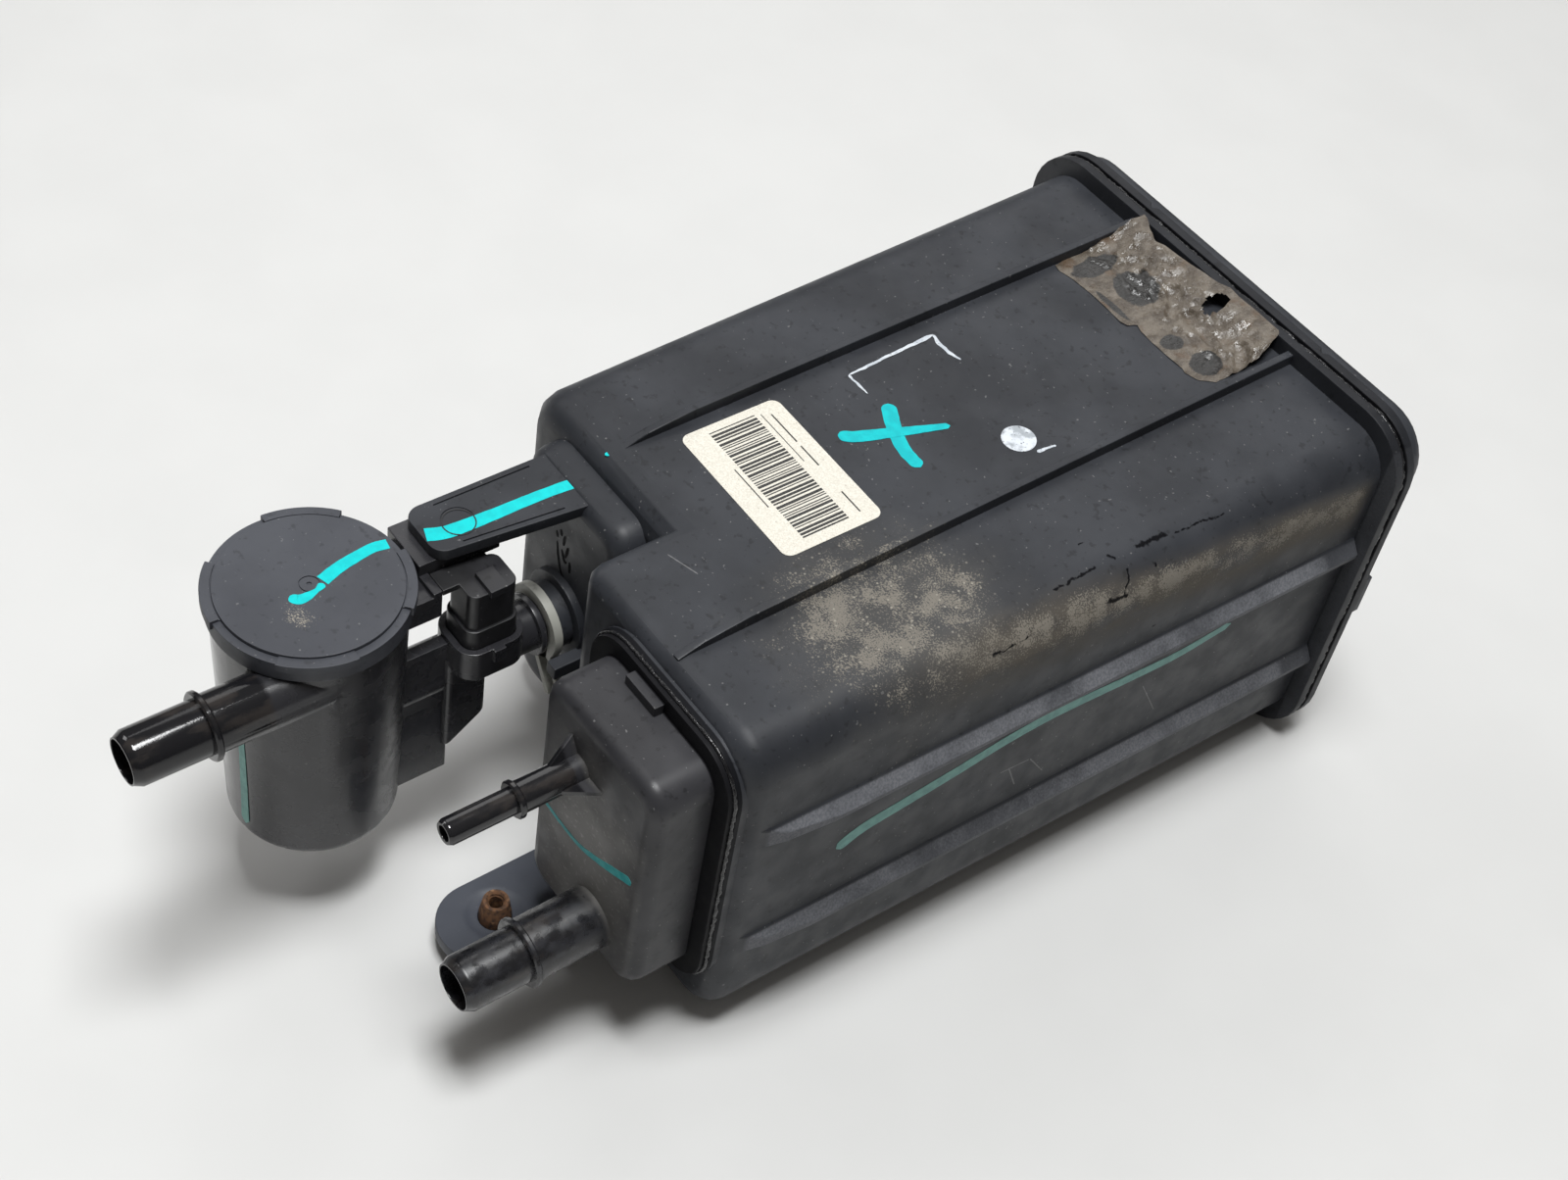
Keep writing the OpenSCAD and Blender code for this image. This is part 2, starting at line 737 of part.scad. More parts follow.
module main_carbon_bed() color(carbon) in_frame()
    main_lobe(fill_in, main_bed_y, bed_back_y, 0);

module vent_carbon_bed() color(carbon) in_frame()
    vent_hollow(fill_in, vent_bed_y, bed_back_y, 0);

module main_rear_felt() color(felt_grey) in_frame()
    main_lobe(fill_in, bed_back_y, plate_front_y, 0);

module vent_rear_felt() color(felt_grey) in_frame()
    vent_hollow(fill_in, bed_back_y, plate_front_y, 0);

// Slots of a pressure plate, kept clear of its spring studs
plate_slot_w = 4;
plate_slot_h = 10;
plate_slot_pitch = 11;
plate_slot_rows = [-45, 0, 45];
module plate_slots(x) {
    for (i = [-2:2], up = plate_slot_rows)
        translate([x + i * plate_slot_pitch - plate_slot_w / 2, plate_front_y - cut,
                   body_h / 2 + up - plate_slot_h / 2])
            cube([plate_slot_w, plate_t + 2 * cut, plate_slot_h]);
}

module main_pressure_plate() color([0.2, 0.2, 0.2]) in_frame() {
    difference() {
        main_lobe(fill_in, plate_front_y, plate_back_y, 0);
        plate_slots(main_spring_x);
    }
    spring_studs([main_spring_x], plate_back_y - cut, stud_l + cut);
}

module vent_pressure_plate() color([0.2, 0.2, 0.2]) in_frame() {
    difference() {
        vent_hollow(fill_in, plate_front_y, plate_back_y, 0);
        plate_slots(vent_spring_x);
    }
    spring_studs([vent_spring_x], plate_back_y - cut, stud_l + cut);
}

// Height of a coil's wire after so many turns, with closed end turns
closed_pitch = 1.1;
coil_steps = 12;
coil_sides = 6;

function coil_rise(turn, turns, wire, length) =
    let (shut = closed_pitch * wire, open = (length - wire - 2 * shut) / (turns - 2))
    wire / 2 + (turn < 1 ? turn * shut
        : turn > turns - 1 ? length - wire - (turns - turn) * shut
        : shut + (turn - 1) * open);

// Compression spring standing on z = 0
module coil_spring(radius, wire, length, turns) {
    count = turns * coil_steps;
    points = [for (i = [0:count], j = [0:coil_sides - 1])
        let (a = 360 * i / coil_steps, t = 360 * j / coil_sides, reach = radius + wire / 2 * cos(t),
             rise = coil_rise(i / coil_steps, turns, wire, length))
        [reach * cos(a), reach * sin(a), rise + wire / 2 * sin(t)]];
    sides = [for (i = [0:count - 1], j = [0:coil_sides - 1])
        let (n = (j + 1) % coil_sides, a = i * coil_sides, b = a + coil_sides)
        each [[a + j, a + n, b + n], [a + j, b + n, b + j]]];
    ends = [[for (j = [coil_sides - 1:-1:0]) j], [for (j = [0:coil_sides - 1]) count * coil_sides + j]];
    polyhedron(points, concat(sides, ends), convexity = 10);
}

spring_turns = 5;
module chamber_springs(x) {
    for (z = spring_zs)
        translate([x, plate_back_y, z])
            rotate([-90, 0, 0]) coil_spring(spring_r, spring_wire, spring_l, spring_turns);
}

module main_springs() color(steel) in_frame() chamber_springs(main_spring_x);

module vent_springs() color(steel) in_frame() chamber_springs(vent_spring_x);

// Vent valve, stacked from the housing's floor
housing_floor = 2.5;
lid_top_z = arm_top - lid_drop;
housing_z = lid_top_z - valve_h;
floor_z = housing_z + housing_floor;
rim_z = lid_top_z - lid_t;
housing_fillet = 4;
yoke_wall = 2;
yoke_top_z = floor_z + yoke_h;
pole_plate_t = 3;
pole_l = 12;
pole_low_z = yoke_top_z - pole_l;
sleeve_t = 0.6;
plunger_l = pole_low_z - floor_z - yoke_wall - plunger_travel - 2 * stop_gap;
plunger_z = floor_z + yoke_wall + stop_gap;
plunger_top_z = plunger_z + plunger_l;
pocket_room = 2.6;
pocket_r = stem_r + pocket_room;
pocket_l = 5;
bobbin_bore_r = plunger_r + slide_gap + sleeve_t + seat_gap;
bobbin_gap = 0.5;
flange_r = yoke_r - yoke_wall - bobbin_gap;
winding_r = flange_r - bobbin_gap;
bobbin_wall = 1.2;
seal_t = 3;
seal_r = 9;
seat_r = 7;
seat_lip = 0.8;
seat_t = 3;
seat_z = port_z + pipe_d / 2;
lip_z = seat_z - seat_lip;
seal_top_z = lip_z - plunger_travel - stop_gap;
seal_low_z = seal_top_z - seal_t;
stem_head_r = 4;
stem_head_t = 1.2;
filter_t = 12;
ledge_r = yoke_r + 2 * seat_gap;

function housing_r_at(z) =
    housing_low_r + (housing_r - housing_low_r) * (z - housing_z) / (rim_z - housing_z);

module at_valve() {
    in_frame() translate([-valve_x, -valve_y, 0]) children();
}

module ring(inner, outer, low, high) {
    translate([0, 0, low])
        difference() {
            cylinder(h = high - low, r = outer);
            translate([0, 0, -cut]) cylinder(h = high - low + 2 * cut, r = inner);
        }
}

vent_in = 1.4;
vent_drop = 0.5;
vent_x = housing_r - vent_d / 2 - vent_in;
vent_z = rim_z - skirt_l - vent_d / 2 - vent_drop;
riser_gap = 1;
riser_y = housing_r + lid_rim + riser_gap;
riser_t = 3;
tongue_t = 6;
tongue_top = arm_top - arm_t;
tongue_tip_y = 57;
tongue_in = 2;
tongue_w = arm_tip_right - arm_left - tongue_in;
bracket_l = 9;

// Tapered cup with a rounded bottom edge
module housing_outside() {
    f = housing_fillet;
    rotate_extrude()
        polygon(concat(
            [[0, housing_z]],
            [for (a = [-90:15:0]) [housing_low_r - f + f * cos(a), housing_z + f + f * sin(a)]],
            [[housing_r, rim_z], [0, rim_z]]
        ));
}

module housing_inside() {
    rotate_extrude()
        polygon([[0, floor_z], [housing_r_at(floor_z) - housing_wall, floor_z],
                 [housing_r - housing_wall, rim_z + slice], [0, rim_z + slice]]);
}

// Ribs in the housing that carry the seat plate and centre the yoke
ledge_t = 3;
module housing_ledges() {
    intersection() {
        housing_inside();
        for (a = [45:90:315])
            rotate(a)
                translate([ledge_r, -ledge_t / 2, floor_z - slice])
                    cube([housing_r, ledge_t, seat_z - floor_z + slice]);
    }
}

// Tongue under the canister's arm, on a riser behind the lid
module valve_tongue() {
    left = arm_left + valve_x;
    right = plug_x - strap_shift + strap_w / 2;
    low = rim_z - skirt_l - bracket_l - riser_gap;
    translate([left, riser_y - bracket_l, low])
        cube([right - left, bracket_l + riser_t, bracket_l]);
    translate([left, riser_y, low])
        cube([tongue_w, riser_t, tongue_top - low]);
    translate([left, riser_y, low])
        cube([right - left, riser_t, plug_top_z - low]);
    translate([left, riser_y, tongue_top - tongue_t])
        cube([tongue_w, tongue_tip_y - riser_y, tongue_t]);
}

pipe_x = valve_x - port_x;
pipe_end_y = valve_y + step_back;
pipe_bead_gap = 1;
pipe_bead_t = 2;
pipe_bead_out = 2;
pipe_bead_y = valve_y + neck_front - retainer_t - pipe_bead_gap;
pipe_rib_t = 3;
pipe_rib_drop = 36;
pipe_rib_out = 9;

module outlet_pipe() {
    translate([pipe_x, 0, port_z]) {
        tube_y(0, pipe_end_y, pipe_d);
        tube_y(pipe_bead_y - pipe_bead_t, pipe_bead_y, pipe_d + 2 * pipe_bead_out);
    }
    translate([pipe_x + pipe_d / 4, 0, port_z - pipe_d / 4 - pipe_rib_drop])
        cube([pipe_rib_t, housing_r + pipe_rib_out, pipe_rib_drop]);
}

// Connector shroud at the valve's rear right, open at the top for the plug
plug_x = 15.5;
plug_y = 46.3;
plug_w = 15;
plug_d = 17.5;
plug_r = 4;
shroud_wall = 2.2;
shroud_up = 2.5;
shroud_h = 9;
shroud_floor_z = port_z + pipe_d / 2 + shroud_up;
shroud_top_z = shroud_floor_z + shroud_h;
nub_size = [2.2, 4, 5];
stalk_drop = 33;
stalk_in = 1.8;
stalk_shift = [-4, -4.6];
stalk_angle = 38;
stalk_low_z = port_z - stalk_drop;
bridge_t = 4;
bridge_drop = 18;
bridge_low = 2;

module shroud_outline(out) {
    translate([plug_x, plug_y]) round_rect(plug_w + 2 * out, plug_d + 2 * out, plug_r + out);
}

module connector_shroud() {
    out = shroud_wall + seat_gap;
    translate([0, 0, shroud_floor_z - shroud_wall])
        linear_extrude(shroud_top_z - shroud_floor_z + shroud_wall) shroud_outline(out);
    translate([plug_x + plug_w / 2 + out - cut, plug_y - nub_size[1] / 2, shroud_top_z - nub_size[2]])
        cube(nub_size);
    difference() {
        translate([stalk_shift[0], stalk_shift[1], stalk_low_z])
            linear_extrude(shroud_floor_z - stalk_low_z) shroud_outline(-stalk_in);
        translate([plug_x, plug_y - plug_d, stalk_low_z])
            rotate([stalk_angle, 0, 0])
                translate([-2 * plug_w, 0, -4 * plug_d]) cube([4 * plug_w, 4 * plug_d, 4 * plug_d]);
    }
    translate([plug_x - bridge_t, 0, shroud_floor_z - bridge_drop])
        cube([bridge_t, plug_y, bridge_drop + shroud_h - bridge_low]);
}

skirt_room = 0.4;

module valve_housing() color(gloss_black) at_valve() {
    difference() {
        union() {
            housing_outside();
            translate([vent_x, 0, vent_z])
                nozzle_body(vent_d, vent_d + 2 * vent_sleeve, vent_l, vent_d + 2 * vent_bead, vent_end_l);
            valve_tongue();
            outlet_pipe();
            connector_shroud();
        }
        difference() {
            housing_inside();
            housing_ledges();
        }
        translate([vent_x, 0, vent_z]) tube_y(-vent_l - cut, 0, vent_d - 2 * nozzle_wall);
        translate([pipe_x, 0, port_z]) tube_y(0, pipe_end_y + cut, pipe_d - 2 * nozzle_wall);
        translate([0, 0, shroud_floor_z]) linear_extrude(shroud_top_z) shroud_outline(seat_gap);
        ring(housing_r, housing_r + lid_rim + skirt_room, rim_z - skirt_l - skirt_room, rim_z + cut);
    }
}

// Lid with a stepped rim: first angle, last angle and drop of each raised stretch
rim_stretches = [[43, 88, 0.3], [133, 178, 0.3], [223, 268, 0.3], [313, 358, 0.8]];
rim_step = 0.8;
rim_w = 3.2;
rim_drop = 1.3;
rim_line = 0.4;
gate_r = 3;

module lid_stretch(span, lid_r) {
    rotate(span[0])
        rotate_extrude(angle = span[1] - span[0])
            translate([lid_r - rim_w - slice, rim_z])
                square([rim_w + slice, lid_t - span[2]]);
}

module valve_lid() color(black_plastic) at_valve() {
    lid_r = housing_r + lid_rim;
    disc_r = lid_r - rim_w;
    difference() {
        union() {
            translate([0, 0, rim_z]) cylinder(h = lid_t, r = disc_r);
            translate([0, 0, rim_z - skirt_l])
                cylinder(h = lid_t - rim_drop + skirt_l, r = lid_r - rim_step);
            for (span = rim_stretches) lid_stretch(span, lid_r);
        }
        translate([0, 0, rim_z - skirt_l - cut]) cylinder(h = skirt_l + cut, r = housing_r + seat_gap);
        ring(disc_r, disc_r + rim_line, lid_top_z - 2 * rim_line, lid_top_z + cut);
        ring(gate_r - rim_line, gate_r, lid_top_z - rim_line, lid_top_z + cut);
        translate([0, 0, lid_top_z - rim_line]) cylinder(h = cut, r = gate_r / 4);
    }
}

// Foam disc over the seat plate
module valve_filter() color([0.35, 0.35, 0.33]) at_valve() {
    low = seat_z + seat_t;
    difference() {
        translate([0, 0, low]) cylinder(h = filter_t, r = housing_r_at(low) - housing_wall - seat_gap);
        translate([0, 0, low - cut]) cylinder(h = filter_t / 3 + cut, r = seal_r);
    }
}

module seat_plate() color([0.16, 0.16, 0.17]) at_valve() {
    ring(seat_r, housing_r_at(seat_z) - housing_wall - seat_gap, seat_z, seat_z + seat_t);
    ring(seat_r, seat_r + seat_lip, lip_z, seat_z + slice);
}

module coil_yoke() color(steel) at_valve() {
    ring(yoke_r - yoke_wall, yoke_r, floor_z, yoke_top_z);
    translate([0, 0, floor_z]) cylinder(h = yoke_wall, r = yoke_r - yoke_wall + slice);
}

module coil_bobbin() color([0.75, 0.74, 0.68]) at_valve() {
    low = floor_z + yoke_wall;
    ring(bobbin_bore_r, bobbin_bore_r + bobbin_wall, low, yoke_top_z);
    ring(bobbin_bore_r, flange_r, low, low + bobbin_wall);
    ring(bobbin_bore_r, flange_r, yoke_top_z - bobbin_wall, yoke_top_z);
}

module coil_winding() color([0.72, 0.4, 0.2]) at_valve() {
    ring(bobbin_bore_r + bobbin_wall + seat_gap, winding_r,
         floor_z + yoke_wall + bobbin_wall, yoke_top_z - bobbin_wall);
}

module pole_core() color(steel) at_valve() {
    difference() {
        union() {
            translate([0, 0, pole_low_z]) cylinder(h = pole_l, r = bobbin_bore_r - seat_gap);
            translate([0, 0, yoke_top_z]) cylinder(h = pole_plate_t, r = yoke_r);
        }
        translate([0, 0, pole_low_z - cut])
            cylinder(h = pole_l + pole_plate_t + 2 * cut, r = stem_r + slide_gap);
        translate([0, 0, pole_low_z - cut]) cylinder(h = pocket_l + cut, r = pocket_r);
    }
}

module guide_sleeve() color([0.78, 0.62, 0.3]) at_valve() {
    ring(plunger_r + slide_gap, bobbin_bore_r - seat_gap, floor_z + yoke_wall, pole_low_z);
}

stem_seat = 3;

module plunger() color(steel) at_valve() {
    translate([0, 0, plunger_z])
        difference() {
            cylinder(h = plunger_l, r = plunger_r);
            translate([0, 0, plunger_l - pocket_l]) cylinder(h = pocket_l + cut, r = pocket_r);
            translate([0, 0, stem_seat]) cylinder(h = plunger_l, r = stem_r + seat_gap);
        }
}

module valve_stem() color([0.8, 0.78, 0.7]) at_valve() {
    low = plunger_z + stem_seat;
    translate([0, 0, low]) cylinder(h = seal_top_z - low + stem_head_t, r = stem_r);
    translate([0, 0, seal_low_z - stem_head_t]) cylinder(h = stem_head_t, r = stem_head_r);
    translate([0, 0, seal_top_z]) cylinder(h = stem_head_t, r = stem_head_r);
}

module stem_seal() color([0.15, 0.15, 0.15]) at_valve() {
    ring(stem_r + seat_gap, seal_r, seal_low_z, seal_top_z);
}

return_wire = 0.7;
return_turns = 7;

module return_spring() color(steel) at_valve() {
    low = plunger_top_z - pocket_l;
    translate([0, 0, low])
        coil_spring(stem_r + pocket_room / 2, return_wire, pole_low_z + pocket_l - low, return_turns);
}

// Plug in the shroud, with the strap that ties it to the housing's riser
plug_drop = 4;
plug_step = 0.9;
plug_step_up = 7;
plug_top_z = tongue_top - plug_drop;
plug_step_z = shroud_top_z + plug_step_up;
strap_t = 2.2;
strap_w = 7.6;
strap_shift = 4.3;
strap_end = 5;
clip_size = [9, 6, 2.6];
clip_shift = [3.4, 0.5];

module connector_plug() color(black_plastic) at_valve() {
    difference() {
        union() {
            translate([0, 0, shroud_floor_z])
                linear_extrude(plug_step_z - shroud_floor_z) shroud_outline(0);
            translate([0, 0, plug_step_z])
                linear_extrude(plug_top_z - plug_step_z) shroud_outline(-plug_step);
            translate([plug_x - strap_shift - strap_w / 2, riser_y + riser_t, plug_top_z - strap_t])
                cube([strap_w, plug_y - riser_y - riser_t + strap_end, strap_t]);
            translate([plug_x + clip_shift[0] - clip_size[0] / 2, plug_y + clip_shift[1] - clip_size[1] / 2,
                       plug_top_z - cut])
                cube(clip_size);
        }
        terminals(seat_gap, cut);
    }
}

terminal_size = [0.8, 2.8];
terminal_gap = 6;
terminal_l = 12;
module terminals(out, below) {
    for (side = [-1, 1])
        translate([plug_x - terminal_size[0] / 2 - out,
                   plug_y + side * terminal_gap / 2 - terminal_size[1] / 2 - out, shroud_floor_z - below])
            cube([terminal_size[0] + 2 * out, terminal_size[1] + 2 * out, terminal_l + below + out]);
}

module connector_terminals() color([0.8, 0.7, 0.4]) at_valve() terminals(0, 0);

canister_body();
rear_cover();
nozzle_cover();
tab_insert();
main_front_felt();
vent_front_felt();
main_carbon_bed();
vent_carbon_bed();
main_rear_felt();
vent_rear_felt();
main_pressure_plate();
vent_pressure_plate();
main_springs();
vent_springs();
port_seal();
port_retainer();
valve_housing();
valve_lid();
valve_filter();
seat_plate();
coil_yoke();
coil_bobbin();
coil_winding();
pole_core();
guide_sleeve();
plunger();
valve_stem();
stem_seal();
return_spring();
connector_plug();
connector_terminals();
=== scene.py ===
# %% [markdown]
# # A charcoal canister with its vent valve
#
# A charcoal canister is a closed plastic box that soaks up fuel vapour. The box, its covers and its valve come
# from the CAD frame with their true sizes. This lesson dresses that frame: it rounds the edges, builds finishes
# from nodes, and adds what a used part carries, such as weld beads, a label, paint marks, tape and rust.

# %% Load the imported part
import json
import math

import bmesh
import bpy
from mathutils import Matrix, Vector, noise


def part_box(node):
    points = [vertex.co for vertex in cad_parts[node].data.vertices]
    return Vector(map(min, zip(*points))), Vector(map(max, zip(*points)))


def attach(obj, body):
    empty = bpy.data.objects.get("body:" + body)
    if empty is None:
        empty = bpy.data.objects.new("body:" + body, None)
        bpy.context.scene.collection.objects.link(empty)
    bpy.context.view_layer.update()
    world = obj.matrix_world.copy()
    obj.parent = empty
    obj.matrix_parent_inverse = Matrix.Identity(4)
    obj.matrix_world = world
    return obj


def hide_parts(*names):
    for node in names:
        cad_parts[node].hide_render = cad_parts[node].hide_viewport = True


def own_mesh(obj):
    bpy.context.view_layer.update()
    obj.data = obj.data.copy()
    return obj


MM = 0.001
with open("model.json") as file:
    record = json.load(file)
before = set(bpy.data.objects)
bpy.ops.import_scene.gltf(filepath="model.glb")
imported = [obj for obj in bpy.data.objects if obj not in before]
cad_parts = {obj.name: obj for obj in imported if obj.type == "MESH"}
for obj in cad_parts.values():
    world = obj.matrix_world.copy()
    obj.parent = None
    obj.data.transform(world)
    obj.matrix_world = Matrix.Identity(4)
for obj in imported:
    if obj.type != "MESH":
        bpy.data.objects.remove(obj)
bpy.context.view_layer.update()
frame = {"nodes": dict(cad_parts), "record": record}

# %% [markdown]
# ## A small kit for finishes
#
# Each finish is a Principled shader fed by procedural textures on Object coordinates. The graphs could be wired
# node by node, but the same few moves come back: a noise, a soft threshold, a mix, a bump. A small class that
# names these moves keeps every finish readable.


# %% Finish kit
class Finish:
    """One procedural material, built move by move."""

    def __init__(self, name, roughness=0.5, metallic=0.0, specular=0.5):
        self.material = bpy.data.materials.new(name)
        self.material.use_nodes = True
        self.tree = self.material.node_tree
        self.shader = self.tree.nodes["Principled BSDF"]
        self.put("Roughness", roughness)
        self.put("Metallic", metallic)
        self.put("Specular IOR Level", specular)
        self.place = self.add("ShaderNodeTexCoord").outputs["Object"]

    def add(self, kind, inputs=None, **settings):
        node = self.tree.nodes.new(kind)
        for key, value in settings.items():
            setattr(node, key, value)
        for key, value in (inputs or {}).items():
            self.feed(node.inputs[key], value)
        return node

    def feed(self, socket, value):
        if isinstance(value, bpy.types.NodeSocket):
            self.tree.links.new(value, socket)
        else:
            socket.default_value = value

    def maths(self, operation, a, b=0.0, c=0.0, clamp=False):
        return self.add("ShaderNodeMath", {0: a, 1: b, 2: c}, operation=operation, use_clamp=clamp).outputs[0]

    def vector(self, operation, a, b=(0, 0, 0)):
        return self.add("ShaderNodeVectorMath", {0: a, 1: b}, operation=operation)

    def axis(self, letter):
        return self.add("ShaderNodeSeparateXYZ", {0: self.place}).outputs[letter]

    def noise(self, size_mm, detail=3.0, stretch=(1, 1, 1), shift=0.0):
        moved = self.add("ShaderNodeMapping", {"Vector": self.place, "Location": [shift] * 3, "Scale": stretch})
        inputs = {"Vector": moved.outputs[0], "Scale": 1 / (size_mm * MM), "Detail": detail}
        return self.add("ShaderNodeTexNoise", inputs).outputs[0]

    def step(self, value, low, high, first=0.0, last=1.0):
        """A soft threshold from first to last between low and high."""
        inputs = {"Value": value, "From Min": low, "From Max": high, "To Min": first, "To Max": last}
        return self.add("ShaderNodeMapRange", inputs, interpolation_type="SMOOTHSTEP").outputs["Result"]

    def step_mm(self, value, low, high, first=0.0, last=1.0):
        return self.step(value, low * MM, high * MM, first, last)

    def product(self, total, *masks):
        """All masks at once."""
        for mask in masks:
            total = self.maths("MULTIPLY", total, mask)
        return total

    def largest(self, total, *masks):
        """The strongest of several masks at each point."""
        for mask in masks:
            total = self.maths("MAXIMUM", total, mask)
        return total

    def mix(self, share, a, b):
        """A colour between two others."""
        return self.add("ShaderNodeMix", {0: share, 6: a, 7: b}, data_type="RGBA").outputs[2]

    def between(self, share, a, b):
        """A number between two others."""
        return self.add("ShaderNodeMix", {0: share, 2: a, 3: b}, data_type="FLOAT").outputs[0]

    def cover(self, tone, mask, colour, strength=1.0):
        """The tone so far, with a colour laid over it where the mask is set."""
        return self.mix(self.maths("MULTIPLY", mask, strength), tone, (*colour, 1))

    def clouds(self, value, low, high, dark, light):
        """Two tones, parted by a soft threshold on a noise."""
        return self.mix(self.step(value, low, high), (*dark, 1), (*light, 1))

    def blob(self, centre_mm, radii_mm, edge=0.5, ragged_mm=6.0):
        """A soft round patch, with a ragged edge."""
        off = self.vector("SUBTRACT", self.place, [c * MM for c in centre_mm]).outputs[0]
        scaled = self.vector("DIVIDE", off, [r * MM for r in radii_mm]).outputs[0]
        far = self.vector("LENGTH", scaled).outputs["Value"]
        ragged = self.maths("MULTIPLY_ADD", self.noise(ragged_mm), 0.7, -0.35)
        return self.step(self.maths("ADD", far, ragged), 1.0, 1.0 - edge)

    def bent_place(self, size_mm, sway_mm):
        """The place of a point, pushed about a little so that straight lines waver."""
        cloud = self.add("ShaderNodeTexNoise", {"Vector": self.place, "Scale": 1 / (size_mm * MM)})
        push = self.vector("SUBTRACT", cloud.outputs["Color"], (0.5, 0.5, 0.5)).outputs[0]
        small = self.vector("MULTIPLY", push, [sway_mm * MM * 2] * 3).outputs[0]
        return self.vector("ADD", self.place, small).outputs[0]

    def scratch(self, place, start_mm, end_mm, half_mm):
        """A line between two points, broken up along its way."""
        a, b = Vector(start_mm) * MM, Vector(end_mm) * MM
        along = b - a
        off = self.vector("SUBTRACT", place, a).outputs[0]
        share = self.maths("MULTIPLY", self.vector("DOT_PRODUCT", off, along).outputs["Value"],
                           1 / along.length_squared, clamp=True)
        foot = self.add("ShaderNodeVectorMath", {0: along, "Scale": share}, operation="SCALE").outputs[0]
        far = self.vector("DISTANCE", off, foot).outputs["Value"]
        worn = self.maths("MULTIPLY", self.noise(1.2), half_mm * MM * 1.2)
        return self.step_mm(self.maths("ADD", far, worn), half_mm * 1.5, half_mm * 0.9)

    def bump(self, height, distance_mm, strength=1.0, onto=None):
        node = self.add("ShaderNodeBump", {"Height": height, "Distance": distance_mm * MM, "Strength": strength})
        if onto is not None:
            self.feed(node.inputs["Normal"], onto)
        return node.outputs[0]

    def put(self, socket, value):
        """Feed one of the shader's own sockets."""
        self.feed(self.shader.inputs[socket], value)


print("finish kit ready")

# %% [markdown]
# ## Black moulded plastic
#
# The box and its covers are black polyamide, which has a fine mould grain, a cloudy bloom, and dark and pale
# specks. A photograph of it would not follow a changed shape. Noises of different sizes do, so the base of every
# plastic finish is built from them.

# %% Base of the plastic finishes
PALE_SPECK = (0.2, 0.2, 0.2)


def plastic(name, dark, light, roughness, grain_mm=0.35, specks=1.0):
    """Clouds, specks and mould grain; returns the finish with its colour and roughness so far."""
    finish = Finish(name, roughness)
    tone = finish.clouds(finish.noise(28, 4), 0.32, 0.7, dark, light)
    dark_specks = finish.step(finish.noise(2.6, 2, shift=3.1), 0.6, 0.72)
    tone = finish.cover(tone, dark_specks, [v * 0.4 for v in dark], 0.55 * specks)
    pale_specks = finish.step(finish.noise(1.3, 1, shift=7.7), 0.735, 0.775)
    tone = finish.cover(tone, pale_specks, PALE_SPECK, 0.5 * specks)
    shine = finish.step(finish.noise(9, 4, shift=1.7), 0.3, 0.7, roughness - 0.07, roughness + 0.07)
    finish.put("Normal", finish.bump(finish.noise(grain_mm, 2), 0.03, 0.5))
    return finish, tone, shine


def finished(finish, tone, shine):
    finish.put("Base Color", tone)
    finish.put("Roughness", shine)
    print("finish", finish.material.name, "with", len(finish.tree.nodes), "nodes")
    return finish


print("base of the plastics ready")

# %% [markdown]
# ## Dust, grime and painted light on the body
#
# Sandy dust lies on the right shoulder and brown grime runs along it to the rear. The side fins carry painted
# light, with painted shade where they near the rear flange, and the tab a painted bluish skylight. All of these
# follow places on the body, so their masks are made from distances in the part's own frame. The walls lean out by
# 1.1 degrees to the rear, and the masks lean with them.

# %% Dust, grime and painted light
SLOPE = math.tan(math.radians(1.1))
FRONT_Y = -62.3
DUST, DUST_VEIL, DUST_DOTS = (0.27, 0.245, 0.205), (0.075, 0.072, 0.066), (0.36, 0.335, 0.28)
GRIME_FILM, GRIME_GRAINS = (0.098, 0.086, 0.070), (0.225, 0.205, 0.172)
# Painted light: a pale grey on the side fins and a bluish skylight on the tab.
FIN_PAINTED_LIGHT, TAB_PAINTED_SKYLIGHT = (0.175, 0.18, 0.197), (0.07, 0.077, 0.096)


def dusted(finish, patch, shift=5.3, amount=0.62):
    """Grains of dust that thin out where the patch fades."""
    grains = finish.noise(0.5, 5, shift=shift)
    clumps = finish.step(finish.noise(7, 4, shift=shift + 1), 0.2, 0.8, 0.22, 0.72)
    return finish.step(finish.maths("ADD", grains, finish.product(patch, clumps, amount)), 0.74, 0.92)


def fin_and_tab_light(finish, tone, level_x):
    """Painted light on the side fins and a bluish tab, with painted shade by the flange; returns the tone and the
    fins' mask.
    """
    y, z = finish.axis("Y"), finish.axis("Z")
    # Painted shade: near the rear flange the fins keep only a third of their painted light.
    fins = finish.product(finish.step_mm(level_x, 75.4, 76.0), finish.step_mm(y, 162, 158, 0.3, 1))
    fin_light = finish.product(fins, finish.step(finish.noise(0.7, 5), 0.3, 0.7, 0.55, 1.0),
                          finish.step(finish.noise(22, 4, shift=6.4), 0.32, 0.62, 0.35, 1.0))
    # Painted skylight on the tab's face.
    tab = finish.product(finish.step_mm(y, -64, -68), finish.step_mm(z, 16, 13, 0, 0.8))
    return finish.cover(finish.cover(tone, fin_light, FIN_PAINTED_LIGHT), tab, TAB_PAINTED_SKYLIGHT), fin_light


